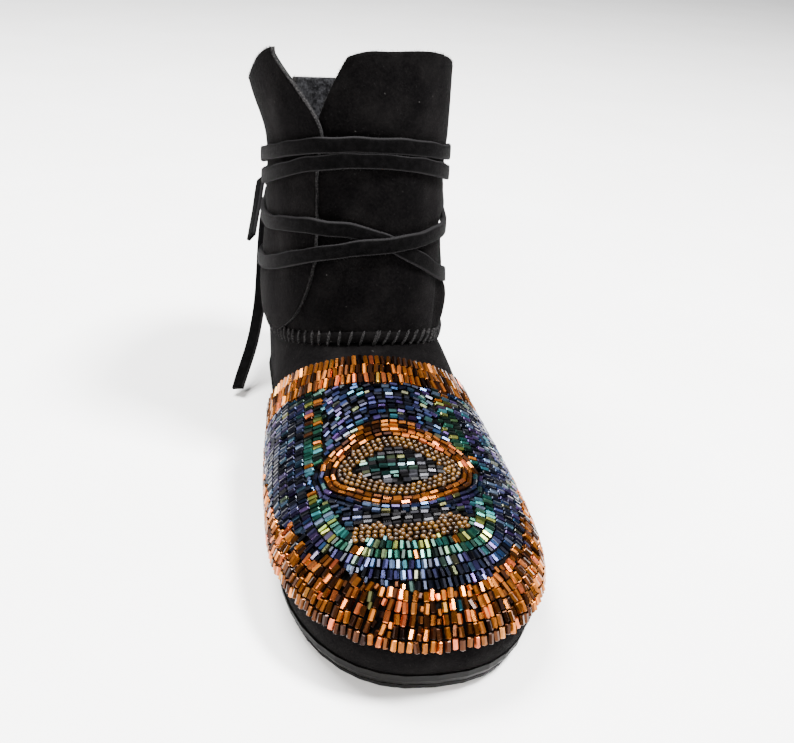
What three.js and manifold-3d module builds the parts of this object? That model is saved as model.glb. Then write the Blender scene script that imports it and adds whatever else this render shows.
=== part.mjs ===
// Beaded suede ankle boot for the left foot, standing empty on its flat sole.
// Millimetres. -Y is the toe, +X the outer side, -X the inner side, +Z up.
// A low moccasin foot carries a wrapped shaft: one flap laps over the inner front
// and a long flat thong winds round the shaft and ties at the inner back.
import * as THREE from "three";
import { mergeVertices } from "three/addons/utils/BufferGeometryUtils.js";
import Module from "manifold-3d";

const wasm = await Module();
wasm.setup();

// Driving sizes
const SOLE_LENGTH = 252;
const BALL_WIDTH = 85;
const TOE_ROUND = 62; // length over which the toe's outline rounds off
const TOE_BLUNTNESS = 2.4; // 2 is an ellipse, more is blunter
const HEEL_ROUND = 40; // the same at the heel
const OUTSOLE_THICKNESS = 2.5;
const MIDSOLE_THICKNESS = 4.5;
const INSOLE_THICKNESS = 3;
const TOE_SPRING = 1.2;
const SPRING_LENGTH = 60; // the sole lifts from the floor this far behind the toe tip
const INSTEP_HEIGHT = 60; // top line of the foot where the shaft starts
const RIDGE_FROM_TOE = 44; // where the foot's top line starts, behind the toe tip
const RIDGE_FROM_HEEL = 38;
const SIDE_BULGE = 5; // the soft foot overhangs its own sole edge by this much
const BULGE_DROP = 0.6; // under 1 sets the bulge lower on the side
const WALL = 2.4; // suede with its lining
const FIT = 0.3; // clearance between touching pieces
const FACET_ROOM = 0.25; // more room under the thong, which bridges the shaft's facets
const SEAM_FRONT_HEIGHT = 61;
const SEAM_BACK_HEIGHT = 42;
const COLLAR_FRONT_HEIGHT = 161;
const COLLAR_BACK_HEIGHT = 134;
const SHAFT_WIDTH = 69;
const SHAFT_LEAN = 1; // the shaft stands this far towards the outer side
const BEAD_THICKNESS = 1.9;
const BEAD_BOTTOM_HEIGHT = 19.5; // the beads start here above the floor
const CUFF_TOP_FROM_TOE = 111; // the beads end here on the instep
const CUFF_SIDE_FROM_TOE = 131; // and here at their lower edge
const CUFF_SKEW = 0.2; // the cuff lies further back on the inner side, a share of the width
const SEAM_WIDTH = 4.5;
const SEAM_THICKNESS = 1.4;
const SEAM_CLEARANCE = 1; // bare suede between the seam and the beads, at the least
const FLAP_THICKNESS = 1.8;
const FLAP_FLARE = 8; // the flap's top stands off the shaft by this much
const THONG_WIDTH = 5.5;
const THONG_THICKNESS = 1.7;
const KNOT_LENGTH = 13;
const KNOT_WIDTH = 10.4;
const KNOT_THICKNESS = 6.5;
const MIDSOLE_SWELL = 0.3; // the midsole stands out past the feather edge half way up
const MIDSOLE_LIP = 0.6; // and at its top
const MIDSOLE_TUCK = 1; // its lower edge tucks in under the upper by this much
const OUTSOLE_TUCK = 2.4; // the tread's lower edge tucks in further
const OUTSOLE_MIDDLE_TUCK = 1.4;

// Mesh resolution
const FOOT_STATIONS = 28;
const FOOT_ROWS = 9;
const SHAFT_SIDES = 40;
const SHAFT_ROWS = 7;
const FLAP_COLUMNS = 16;
const FLAP_ROWS = 14;
const TURN_ANGLE = 9; // between two sections of a thong's winding
const WINDING_STRETCHES = 6;
const STRETCH_LAP_ANGLE = 0.5; // neighbouring stretches share this much
const KNOT_SIDES = 12;
const KNOT_ROWS = 8;
const SEAM_STEPS = 14;
const LOOSE_END_STEPS = 14;

// Sections across the foot, from toe to heel. at is a share of SOLE_LENGTH, inner and outer are
// half widths as shares of BALL_WIDTH, ridge is the top line as a share of INSTEP_HEIGHT, bulge is a
// share of SIDE_BULGE and fullness is the arch's exponent: 2 is an ellipse, more is boxier.
const FOOT_SECTIONS = [
  { at: 0.0, inner: 0.482, outer: 0.472, ridge: 0.6, fullness: 2.1, bulge: 1.0 },
  { at: 0.18, inner: 0.484, outer: 0.486, ridge: 0.68, fullness: 2.1, bulge: 1.0 },
  { at: 0.33, inner: 0.468, outer: 0.472, ridge: 0.83, fullness: 2.15, bulge: 0.95 },
  { at: 0.47, inner: 0.43, outer: 0.434, ridge: 0.97, fullness: 2.3, bulge: 0.8 },
  { at: 0.62, inner: 0.375, outer: 0.405, ridge: 1.04, fullness: 3.2, bulge: 0.5 },
  { at: 0.85, inner: 0.342, outer: 0.388, ridge: 1.0, fullness: 3.4, bulge: 0.35 },
  { at: 1.0, inner: 0.335, outer: 0.38, ridge: 0.92, fullness: 3.0, bulge: 0.35 },
];

// Rings round the shaft. at is a share of the way from seam to collar, front and back are shares
// of SOLE_LENGTH from the toe, width is a share of SHAFT_WIDTH.
const SHAFT_SECTIONS = [
  { at: -0.4, front: 0.53, back: 0.925, width: 0.8 },
  { at: 0.0, front: 0.487, back: 0.962, width: 1.0 },
  { at: 0.35, front: 0.506, back: 0.955, width: 0.968 },
  { at: 0.7, front: 0.524, back: 0.952, width: 0.965 },
  { at: 1.0, front: 0.54, back: 0.957, width: 1.0 },
  { at: 1.4, front: 0.56, back: 0.96, width: 1.02 },
];
const SHAFT_FULLNESS = 2.3;
const SHAFT_FOOT = -0.3; // the shaft's form starts inside the foot

// The flap's free edge: azimuth in degrees from the front, minus on the inner side.
const FLAP_EDGE = [
  { at: 0.02, azimuth: -66 },
  { at: 0.07, azimuth: -51 },
  { at: 0.18, azimuth: -41 },
  { at: 0.31, azimuth: -36 },
  { at: 0.63, azimuth: -37 },
  { at: 0.735, azimuth: -33 },
  { at: 0.88, azimuth: -43 },
  { at: 1.0, azimuth: -56 },
];
const FLAP_ROOT_ANGLE = -152;
const FLAP_FRONT_ANGLE = -33; // the furthest forward that the edge comes under the thong
const FLAP_FLARE_ANGLE = -80; // the flap flares fully from here forwards
const FLAP_FLARE_START = 0.7; // height share where the flap starts to stand off
const FLAP_FLARE_END = 1.05;

// The cut that opens the shaft behind the flap, above the upper windings.
const THROAT_EDGE = [
  { at: 0.66, azimuth: -24 },
  { at: 0.85, azimuth: -23 },
  { at: 0.94, azimuth: -18 },
  { at: 1.0, azimuth: -10 },
  { at: 1.18, azimuth: 2 },
];
const THROAT_ROOT_ANGLE = -146;

// The seam between foot and shaft as seen from the side: at is a share of SOLE_LENGTH from the
// toe, height is a share of the way from SEAM_BACK_HEIGHT to SEAM_FRONT_HEIGHT.
const SEAM_LINE = [
  { at: 0.455, height: 1.25 },
  { at: 0.5, height: 0.97 },
  { at: 0.56, height: 0.66 },
  { at: 0.65, height: 0.38 },
  { at: 0.8, height: 0.18 },
  { at: 1.03, height: 0.02 },
];

// The thong's route: azimuth runs on through four turns, at is the height on the shaft and layer
// counts the thong's thicknesses that it lies above the shaft or flap.
const THONG_ROUTE = [
  { azimuth: -134, at: 0.44, layer: 0 },
  { azimuth: -87, at: 0.385, layer: 0 },
  { azimuth: -60, at: 0.402, layer: 0 },
  { azimuth: -37, at: 0.413, layer: 0 },
  { azimuth: -8, at: 0.397, layer: 0 },
  { azimuth: 15.5, at: 0.319, layer: 0 },
  { azimuth: 51.5, at: 0.21, layer: 0 },
  { azimuth: 90, at: 0.15, layer: 0 },
  { azimuth: 135, at: 0.145, layer: 0 },
  { azimuth: 180, at: 0.155, layer: 0 },
  { azimuth: 225, at: 0.165, layer: 0 },
  { azimuth: 258, at: 0.183, layer: 0 },
  { azimuth: 283, at: 0.215, layer: 0 },
  { azimuth: 306, at: 0.265, layer: 0 },
  { azimuth: 324, at: 0.306, layer: 0 },
  { azimuth: 345, at: 0.338, layer: 0.55 },
  { azimuth: 358, at: 0.351, layer: 0.95 },
  { azimuth: 375, at: 0.368, layer: 0.95 },
  { azimuth: 392, at: 0.381, layer: 0.4 },
  { azimuth: 423, at: 0.392, layer: 0 },
  { azimuth: 442, at: 0.415, layer: 0.4 },
  { azimuth: 455, at: 0.455, layer: 2.6 },
  { azimuth: 468, at: 0.51, layer: 4.2 },
  { azimuth: 482, at: 0.55, layer: 2.6 },
  { azimuth: 498, at: 0.565, layer: 0.4 },
  { azimuth: 515, at: 0.565, layer: 0 },
  { azimuth: 560, at: 0.56, layer: 0 },
  { azimuth: 600, at: 0.55, layer: 0 },
  { azimuth: 625, at: 0.552, layer: 0 },
  { azimuth: 650, at: 0.59, layer: 0 },
  { azimuth: 682, at: 0.64, layer: 0 },
  { azimuth: 722, at: 0.651, layer: 0 },
  { azimuth: 783, at: 0.6, layer: 0 },
  { azimuth: 830, at: 0.6, layer: 0.9 },
  { azimuth: 900, at: 0.625, layer: 0.4 },
  { azimuth: 960, at: 0.63, layer: 0.4 },
  { azimuth: 990, at: 0.653, layer: 0 },
  { azimuth: 1042, at: 0.7, layer: 0 },
  { azimuth: 1076, at: 0.71, layer: 0 },
  { azimuth: 1145, at: 0.676, layer: 0 },
  { azimuth: 1200, at: 0.685, layer: 0 },
  { azimuth: 1260, at: 0.69, layer: 0 },
  { azimuth: 1290, at: 0.67, layer: 0.6 },
  { azimuth: 1308, at: 0.6, layer: 1.1 },
];

const KNOT = { azimuth: -142, at: 0.5 };

// The thong's two loose ends hang from the knot beside the boot. Points are x, y and z from the
// middle of the sole on the floor, chosen by hand.
const LONG_END = [
  [-27.8, 110.5, 84.3],
  [-29.8, 111.5, 72],
  [-30.9, 111.5, 58],
  [-31.6, 109.5, 45],
  [-32.6, 105, 35],
  [-34.4, 98.5, 26.5],
  [-37.8, 88, 17.5],
  [-43.4, 76, 7],
  [-45.3, 71, 4],
];
const SHORT_END = [
  [-32.6, 105.8, 90.3],
  [-33.9, 101, 87],
  [-35.8, 92, 81.5],
  [-39.3, 76.3, 73.4],
];
const LONG_END_FACING = [-0.5, -0.75, 0.4];
const SHORT_END_FACING = [-0.85, -0.5, 0.2];

const SUEDE = new THREE.MeshStandardMaterial({ color: 0x0b0b0c, roughness: 0.95 });
const THONG = new THREE.MeshStandardMaterial({ color: 0x1b1b1d, roughness: 0.85 });
const RUBBER = new THREE.MeshStandardMaterial({ color: 0x2b2a2a, roughness: 0.6 });
const BEADS = new THREE.MeshStandardMaterial({ color: 0x8a5228, roughness: 0.25, metalness: 0.8 });
const SOCK = new THREE.MeshStandardMaterial({ color: 0x1c1c1e, roughness: 0.9 });

const radians = THREE.MathUtils.degToRad;
const lerp = THREE.MathUtils.lerp;

// Smooth value of one column of a table at a place along its key column.
function lookup(rows, column, place, key = "at") {
  const last = rows.length - 1;
  const i = Math.max(0, Math.min(last - 1, rows.findLastIndex((r) => r[key] <= place)));
  const slope = (k) => {
    const a = rows[Math.max(0, k - 1)];
    const b = rows[Math.min(last, k + 1)];
    return (b[column] - a[column]) / (b[key] - a[key]);
  };
  const span = rows[i + 1][key] - rows[i][key];
  const t = THREE.MathUtils.clamp((place - rows[i][key]) / span, 0, 1);
  const rise = rows[i + 1][column] - rows[i][column];
  const bendIn = slope(i) * span - rise;
  const bendOut = rise - slope(i + 1) * span;
  const bend = t * (1 - t) * (bendIn * (1 - t) + bendOut * t);
  return lerp(rows[i][column], rows[i + 1][column], t) + bend;
}

// A closed solid from a grid of points that wraps round in both directions.
function solidFromGrid(grid) {
  const corner = [];
  const rows = grid.length;
  const columns = grid[0].length;
  for (let i = 0; i < rows; i++)
    for (let j = 0; j < columns; j++) {
      const a = grid[i][j];
      const b = grid[i][(j + 1) % columns];
      const c = grid[(i + 1) % rows][(j + 1) % columns];
      const d = grid[(i + 1) % rows][j];
      corner.push(a, b, c, a, c, d);
    }
  return solidOf(new THREE.BufferGeometry().setFromPoints(corner));
}

// A manifold solid of a three.js geometry, whichever way its faces turn.
function solidOf(geometry) {
  const bare = new THREE.BufferGeometry().setAttribute("position", geometry.getAttribute("position"));
  if (geometry.index) bare.setIndex(geometry.index);
  const merged = mergeVertices(bare, 1e-4);
  const corners = [];
  for (let i = 0; i < merged.index.count; i += 3) {
    const [a, b, c] = [0, 1, 2].map((k) => merged.index.getX(i + k));
    if (a !== b && b !== c && c !== a) corners.push(a, b, c);
  }
  const build = (triVerts) =>
    new wasm.Manifold(
      new wasm.Mesh({
        numProp: 3,
        vertProperties: new Float32Array(merged.attributes.position.array),
        triVerts: new Uint32Array(triVerts),
      }),
    );
  const made = build(corners);
  if (made.volume() > 0) return made;
  return build(corners.reverse());
}

// A named mesh of a solid. The largest body is kept, and slivers a cut leaves are dropped.
function meshOf(name, solid, material) {
  const bodies = solid.decompose().sort((a, b) => b.volume() - a.volume());
  const { vertProperties, triVerts } = bodies[0].getMesh();
  const geometry = new THREE.BufferGeometry();
  geometry.setAttribute("position", new THREE.BufferAttribute(vertProperties, 3));
  geometry.setIndex(new THREE.BufferAttribute(triVerts, 1));
  geometry.computeVertexNormals();
  const mesh = new THREE.Mesh(geometry, material);
  mesh.name = name;
  return mesh;
}

// The foot

function springAt(fromToe) {
  return TOE_SPRING * Math.max(0, 1 - fromToe / SPRING_LENGTH) ** 2;
}

// Height of each layer's underside above the floor where the sole lies flat.
const MIDSOLE_BOTTOM = OUTSOLE_THICKNESS + FIT;
const SOLE_TOP = MIDSOLE_BOTTOM + MIDSOLE_THICKNESS;
const FEATHER_HEIGHT = SOLE_TOP + FIT;

function fromToeAt(station) {
  return (SOLE_LENGTH * (1 - Math.cos(Math.PI * station))) / 2;
}

// Half width of the feather edge. side is -1 for the inner and 1 for the outer edge.
function halfWidth(fromToe, side) {
  const share = fromToe / SOLE_LENGTH;
  const width = lookup(FOOT_SECTIONS, side < 0 ? "inner" : "outer", share) * BALL_WIDTH;
  const toe = Math.max(0, 1 - fromToe / TOE_ROUND);
  const heel = Math.max(0, 1 - (SOLE_LENGTH - fromToe) / HEEL_ROUND);
  const roundedToe = (1 - toe ** TOE_BLUNTNESS) ** (1 / TOE_BLUNTNESS);
  const roundedHeel = Math.sqrt(Math.max(0, 1 - heel * heel));
  return width * roundedToe * roundedHeel;
}

// A point of the top line that the arch above a station rises to.
function ridgePoint(fromToe) {
  const toe = Math.cbrt(fromToe ** 3 + RIDGE_FROM_TOE ** 3);
  const fromHeel = SOLE_LENGTH - toe;
  const eased = Math.cbrt(Math.max(0, fromHeel) ** 3 + RIDGE_FROM_HEEL ** 3);
  const place = SOLE_LENGTH - Math.min(eased, SOLE_LENGTH - RIDGE_FROM_TOE);
  const share = place / SOLE_LENGTH;
  const middle = (halfWidth(place, 1) - halfWidth(place, -1)) / 2;
  const height = lookup(FOOT_SECTIONS, "ridge", share) * INSTEP_HEIGHT;
  return new THREE.Vector3(middle, place - SOLE_LENGTH / 2, height);
}

// A point of the foot's skin. around runs from 0 at the toe to -1 or 1 at the heel, rise from 0
// at the feather edge to 1 at the top line.
function footSkin(around, rise) {
  const side = around < 0 ? -1 : 1;
  const fromToe = fromToeAt(Math.abs(around));
  const fullness = lookup(FOOT_SECTIONS, "fullness", fromToe / SOLE_LENGTH);
  const ridge = ridgePoint(fromToe);
  const floor = FEATHER_HEIGHT + springAt(fromToe);
  const edge = new THREE.Vector3(side * halfWidth(fromToe, side), fromToe - SOLE_LENGTH / 2, floor);
  const spoke = new THREE.Vector3(edge.x - ridge.x, edge.y - ridge.y, 0);
  const turn = (Math.PI / 2) * rise;
  const out = Math.max(0, Math.cos(turn)) ** (2 / fullness);
  const up = Math.sin(turn) ** (2 / fullness);
  const swell = lookup(FOOT_SECTIONS, "bulge", fromToe / SOLE_LENGTH) * SIDE_BULGE;
  const bulge = swell * Math.sin(Math.PI * rise ** BULGE_DROP) ** 2;
  const reach = (spoke.length() * out + bulge) / spoke.length();
  const height = lerp(floor, ridge.z, up);
  return new THREE.Vector3(ridge.x + spoke.x * reach, ridge.y + spoke.y * reach, height);
}

// Outward normal of a skin function at a place, by small steps along both of its directions.
function normalOf(skin, a, b, stepA, stepB) {
  const alongA = skin(a + stepA, b).sub(skin(a - stepA, b));
  const alongB = skin(a, b + stepB).sub(skin(a, b - stepB));
  return alongA.cross(alongB).normalize();
}

function footPoint(around, rise, outset) {
  const step = 0.004;
  const highest = 0.97;
  const wrapped = THREE.MathUtils.clamp(around, step - 1, 1 - step);
  const height = THREE.MathUtils.clamp(rise, step, highest);
  const level = (a, r) => footSkin(a > 1 ? 2 - a : a < -1 ? -2 - a : a, r);
  const normal = normalOf(level, wrapped, height, step, step);
  if (Math.abs(around) < step || Math.abs(around) > 1 - step) normal.x = 0;
  if (rise > 1 - step) normal.set(0, normal.y, Math.abs(normal.z));
  if (rise < step) normal.z = 0;
  return footSkin(around, rise).addScaledVector(normal.normalize(), outset);
}

// The foot as a filled form, its skin moved outwards by outset and its floor lowered by drop.
function footForm(outset, drop = 0) {
  const corner = [];
  const ring = (row) => {
    const points = [];
    for (let k = 0; k < 2 * FOOT_STATIONS; k++) {
      const around = k <= FOOT_STATIONS ? k / FOOT_STATIONS : k / FOOT_STATIONS - 2;
      const rise = Math.max(0, row) / FOOT_ROWS;
      const point = footPoint(around, rise, outset);
      if (row === FOOT_ROWS) point.copy(footPoint(Math.abs(around), 1, outset));
      if (row < 0) point.z -= drop;
      points.push(point);
    }
    return points;
  };
  const first = drop > 0 ? -1 : 0;
  for (let row = first; row < FOOT_ROWS; row++) {
    const low = ring(row);
    const high = ring(row + 1);
    low.forEach((a, k) => {
      const next = (k + 1) % low.length;
      corner.push(a, low[next], high[next], a, high[next], high[k]);
    });
  }
  const base = ring(first);
  for (let k = 0; k < FOOT_STATIONS; k++) {
    const [a, b] = [base[k], base[k + 1]];
    const [c, d] = [base[(2 * FOOT_STATIONS - k) % base.length], base[2 * FOOT_STATIONS - k - 1]];
    corner.push(a, c, d, a, d, b);
  }
  return solidOf(new THREE.BufferGeometry().setFromPoints(corner));
}

// A layer of the sole. Each level gives a height above the flat floor and an outset of its edge.
function soleLayer(levels) {
  const corner = [];
  const ring = ({ height, outset }) => {
    const points = [];
    for (let k = 0; k < 2 * FOOT_STATIONS; k++) {
      const around = k <= FOOT_STATIONS ? k / FOOT_STATIONS : k / FOOT_STATIONS - 2;
      const point = footPoint(around, 0, outset);
      const fromToe = fromToeAt(Math.abs(around));
      point.z = height + springAt(fromToe);
      points.push(point);
    }
    return points;
  };
  const rings = levels.map(ring);
  rings.slice(1).forEach((high, i) => {
    const low = rings[i];
    low.forEach((a, k) => {
      const next = (k + 1) % low.length;
      corner.push(a, low[next], high[next], a, high[next], high[k]);
    });
  });
  for (const [cap, up] of [[rings[0], false], [rings.at(-1), true]])
    for (let k = 0; k < FOOT_STATIONS; k++) {
      const [a, b] = [cap[k], cap[k + 1]];
      const [c, d] = [cap[(2 * FOOT_STATIONS - k) % cap.length], cap[2 * FOOT_STATIONS - k - 1]];
      if (up) corner.push(a, d, c, a, b, d);
      else corner.push(a, c, d, a, d, b);
    }
  return solidOf(new THREE.BufferGeometry().setFromPoints(corner));
}

// The shaft

// A point of the shaft's skin at an azimuth in degrees and a height share from seam to collar.
function shaftSkin(azimuth, at) {
  const turn = radians(azimuth);
  const power = (value) => Math.sign(value) * Math.abs(value) ** (2 / SHAFT_FULLNESS);
  const front = (lookup(SHAFT_SECTIONS, "front", at) - 0.5) * SOLE_LENGTH;
  const back = (lookup(SHAFT_SECTIONS, "back", at) - 0.5) * SOLE_LENGTH;
  const half = (lookup(SHAFT_SECTIONS, "width", at) * SHAFT_WIDTH) / 2;
  const y = (front + back) / 2 - ((back - front) / 2) * power(Math.cos(turn));
  const share = (y - front) / (back - front);
  const frontHeight = lerp(SEAM_FRONT_HEIGHT, COLLAR_FRONT_HEIGHT, at);
  const backHeight = lerp(SEAM_BACK_HEIGHT, COLLAR_BACK_HEIGHT, at);
  const x = SHAFT_LEAN + half * power(Math.sin(turn));
  return new THREE.Vector3(x, y, lerp(frontHeight, backHeight, share));
}

function shaftNormal(azimuth, at) {
  const [turnStep, heightStep] = [2, 0.02];
  return normalOf(shaftSkin, azimuth, at, turnStep, heightStep);
}

function shaftPoint(azimuth, at, outset) {
  return shaftSkin(azimuth, at).addScaledVector(shaftNormal(azimuth, at), outset);
}

// The shaft as a filled form from inside the foot up to a height share.
function shaftForm(outset, top = 1) {
  const rings = [];
  for (let row = 0; row <= SHAFT_ROWS; row++) {
    const at = lerp(SHAFT_FOOT, top, row / SHAFT_ROWS);
    const ring = [];
    for (let k = 0; k < SHAFT_SIDES; k++) ring.push(shaftPoint((360 * k) / SHAFT_SIDES, at, outset));
    rings.push(ring);
  }
  const corner = [];
  rings.slice(1).forEach((high, i) => {
    rings[i].forEach((a, k) => {
      const next = (k + 1) % SHAFT_SIDES;
      corner.push(a, rings[i][next], high[next], a, high[next], high[k]);
    });
  });
  for (const [ring, up] of [[rings[0], false], [rings.at(-1), true]])
    for (let k = 1; k < SHAFT_SIDES - 1; k++) {
      if (up) corner.push(ring[0], ring[k], ring[k + 1]);
      else corner.push(ring[0], ring[k + 1], ring[k]);
    }
  return solidOf(new THREE.BufferGeometry().setFromPoints(corner));
}

// A curved plate on the shaft between two azimuths that may change with height. lift gives its
// underside's distance from the shaft's skin.
function shaftPlate({ low, high, from, to, lift, thickness, columns, rows }) {
  const sheet = (extra) => {
    const points = [];
    for (let row = 0; row <= rows; row++) {
      const at = lerp(low, high, row / rows);
      for (let k = 0; k <= columns; k++) {
        const azimuth = lerp(from(at), to(at), k / columns);
        points.push(shaftPoint(azimuth, at, lift(azimuth, at) + extra));
      }
    }
    return points;
  };
  const under = sheet(0);
  const over = sheet(thickness);
  const corner = [];
  const quad = (a, b, c, d) => corner.push(a, b, c, a, c, d);
  const index = (row, k) => row * (columns + 1) + k;
  for (let row = 0; row < rows; row++)
    for (let k = 0; k < columns; k++) {
      const [a, b, c, d] = [index(row, k), index(row, k + 1), index(row + 1, k + 1), index(row + 1, k)];
      quad(over[a], over[b], over[c], over[d]);
      quad(under[a], under[d], under[c], under[b]);
    }
  for (let k = 0; k < columns; k++) {
    const [a, b] = [index(0, k), index(0, k + 1)];
    const [c, d] = [index(rows, k), index(rows, k + 1)];
    quad(under[a], under[b], over[b], over[a]);
    quad(over[c], over[d], under[d], under[c]);
  }
  for (let row = 0; row < rows; row++) {
    const [a, b] = [index(row, 0), index(row + 1, 0)];
    const [c, d] = [index(row, columns), index(row + 1, columns)];
    quad(under[a], over[a], over[b], under[b]);
    quad(over[c], under[c], under[d], over[d]);
  }
  return solidOf(new THREE.BufferGeometry().setFromPoints(corner));
}

// Cutting shapes seen from the side, as wide as the whole boot. Points are [from toe, height].
function sideCutter(outline, skew = 0) {
  const corner = ([fromToe, height]) => new THREE.Vector2(fromToe - SOLE_LENGTH / 2, height);
  const shape = new THREE.Shape(outline.map(corner));
  const width = 2 * BALL_WIDTH;
  const geometry = new THREE.ExtrudeGeometry(shape, { depth: width, bevelEnabled: false });
  // The shape's own x and y become the boot's Y and Z.
  geometry.applyMatrix4(new THREE.Matrix4().makeBasis(
    new THREE.Vector3(0, 1, 0),
    new THREE.Vector3(0, 0, 1),
    new THREE.Vector3(1, 0, 0),
  ));
  geometry.translate(-width / 2, 0, 0);
  geometry.applyMatrix4(new THREE.Matrix4().makeShear(-skew, 0, 0, 0, 0, 0));
  return solidOf(geometry);
}

function outerForm(outset) {
  return footForm(outset).add(shaftForm(outset));
}

function makeUpper() {
  const aboveCollar = 1.2;
  const inside = footForm(-WALL, 2 * WALL).add(shaftForm(-WALL, aboveCollar));
  const throat = shaftPlate({
    low: THROAT_EDGE[0].at,
    high: THROAT_EDGE.at(-1).at,
    from: () => THROAT_ROOT_ANGLE,
    to: (at) => lookup(THROAT_EDGE, "azimuth", at),
    lift: () => -2 * WALL,
    thickness: 3 * WALL,
    columns: FLAP_COLUMNS,
    rows: FLAP_ROWS / 2,
  });
  return outerForm(0).subtract(inside).subtract(throat);
}

function makeBeadPanel() {
  const beyond = SOLE_LENGTH / 4;
  const region = sideCutter([
    [-beyond, BEAD_BOTTOM_HEIGHT],
    [CUFF_SIDE_FROM_TOE, BEAD_BOTTOM_HEIGHT],
    [CUFF_TOP_FROM_TOE, INSTEP_HEIGHT + beyond],
    [-beyond, INSTEP_HEIGHT + beyond],
  ], CUFF_SKEW);
  const shell = footForm(FIT + BEAD_THICKNESS).subtract(footForm(FIT));
  const bare = seamBand(SEAM_WIDTH + 2 * SEAM_CLEARANCE);
  return shell.intersect(region).subtract(shaftForm(FIT)).subtract(bare);
}

// The seam's band as a cutting shape of a given width.
function seamBand(width) {
  const curve = new THREE.SplineCurve(
    SEAM_LINE.map(({ at, height }) => {
      const z = lerp(SEAM_BACK_HEIGHT, SEAM_FRONT_HEIGHT, height);
      return new THREE.Vector2(at * SOLE_LENGTH, z);
    }),
  );
  const edge = (side) => {
    const points = [];
    for (let k = 0; k <= SEAM_STEPS; k++) {
      const along = curve.getTangent(k / SEAM_STEPS);
      const point = curve.getPoint(k / SEAM_STEPS);
      const reach = (side * width) / 2;
      points.push([point.x - along.y * reach, point.y + along.x * reach]);
    }
    return points;
  };
  return sideCutter([...edge(-1), ...edge(1).reverse()]);
}

function makeSeam() {
  const skin = outerForm(FIT + SEAM_THICKNESS).subtract(outerForm(FIT));
  return skin.intersect(seamBand(SEAM_WIDTH));
}

function flapLift(azimuth, at) {
  const high = THREE.MathUtils.smoothstep(at, FLAP_FLARE_START, FLAP_FLARE_END);
  const forward = THREE.MathUtils.smoothstep(azimuth, FLAP_ROOT_ANGLE, FLAP_FLARE_ANGLE);
  return FIT + FLAP_FLARE * high * forward;
}

function makeFlap() {
  const plate = shaftPlate({
    low: FLAP_EDGE[0].at,
    high: FLAP_EDGE.at(-1).at,
    from: () => FLAP_ROOT_ANGLE,
    to: (at) => lookup(FLAP_EDGE, "azimuth", at),
    lift: flapLift,
    thickness: FLAP_THICKNESS,
    columns: FLAP_COLUMNS,
    rows: FLAP_ROWS,
  });
  return plate.subtract(outerForm(FIT)).subtract(seamBand(SEAM_WIDTH + 2 * FIT));
}

// The thong

// How far the thong's underside clears the shaft's skin: it climbs over the flap.
function thongLift(azimuth, layer) {
  const turn = THREE.MathUtils.euclideanModulo(azimuth + 180, 360) - 180;
  const [root, front] = [FLAP_ROOT_ANGLE, FLAP_FRONT_ANGLE];
  const over =
    THREE.MathUtils.smoothstep(turn, root - 2 * TURN_ANGLE, root - TURN_ANGLE / 2) *
    (1 - THREE.MathUtils.smoothstep(turn, front + TURN_ANGLE / 2, front + 2 * TURN_ANGLE));
  return FIT + FACET_ROOM + over * (FLAP_THICKNESS + FIT) + layer * THONG_THICKNESS;
}

// A flat strip along a list of frames, each with a point, a thickness and a width direction.
function stripAlong(frames) {
  const corner = [];
  const section = ({ point, normal, across }) =>
    [[-1, 0], [1, 0], [1, 1], [-1, 1]].map(([side, level]) =>
      point
        .clone()
        .addScaledVector(across, (side * THONG_WIDTH) / 2)
        .addScaledVector(normal, level * THONG_THICKNESS),
    );
  const sections = frames.map(section);
  sections.slice(1).forEach((next, i) => {
    for (let k = 0; k < 4; k++) {
      const l = (k + 1) % 4;
      corner.push(sections[i][k], sections[i][l], next[l], sections[i][k], next[l], next[k]);
    }
  });
  const [first, last] = [sections[0], sections.at(-1)];
  corner.push(first[0], first[2], first[1], first[0], first[3], first[2]);
  corner.push(last[0], last[1], last[2], last[0], last[2], last[3]);
  return solidOf(new THREE.BufferGeometry().setFromPoints(corner));
}

// One stretch of the winding between two azimuths.
function windingStretch(from, to) {
  const route = (azimuth) => {
    const at = lookup(THONG_ROUTE, "at", azimuth, "azimuth");
    const layer = Math.max(0, lookup(THONG_ROUTE, "layer", azimuth, "azimuth"));
    return shaftPoint(azimuth, at, thongLift(azimuth, layer));
  };
  const count = Math.round((to - from) / TURN_ANGLE);
  const frames = [];
  for (let k = 0; k <= count; k++) {
    const azimuth = lerp(from, to, k / count);
    const at = lookup(THONG_ROUTE, "at", azimuth, "azimuth");
    const point = route(azimuth);
    const normal = shaftNormal(azimuth, at);
    const along = route(azimuth + 1).sub(route(azimuth - 1)).normalize();
    normal.addScaledVector(along, -normal.dot(along)).normalize();
    frames.push({ point, normal, across: new THREE.Vector3().crossVectors(normal, along) });
  }
  return stripAlong(frames);
}

function makeWindings() {
  const start = THONG_ROUTE[0].azimuth;
  const end = THONG_ROUTE.at(-1).azimuth;
  let solid = null;
  for (let k = 0; k < WINDING_STRETCHES; k++) {
    const from = lerp(start, end, k / WINDING_STRETCHES);
    const to = Math.min(end, lerp(start, end, (k + 1) / WINDING_STRETCHES) + STRETCH_LAP_ANGLE);
    const stretch = windingStretch(from, to);
    solid = solid ? solid.add(stretch) : stretch;
  }
  return solid.subtract(outerForm(FIT));
}

const KNOT_LIFT = thongLift(KNOT.azimuth, 1) + FIT;

function makeKnot() {
  const ball = new THREE.SphereGeometry(0.5, KNOT_SIDES, KNOT_ROWS);
  ball.scale(KNOT_LENGTH, KNOT_WIDTH, KNOT_THICKNESS);
  const outward = shaftNormal(KNOT.azimuth, KNOT.at);
  const centre = shaftPoint(KNOT.azimuth, KNOT.at, KNOT_LIFT + KNOT_THICKNESS / 2);
  ball.applyQuaternion(new THREE.Quaternion().setFromUnitVectors(new THREE.Vector3(0, 0, 1), outward));
  ball.translate(centre.x, centre.y, centre.z);
  return solidOf(ball);
}

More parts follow.
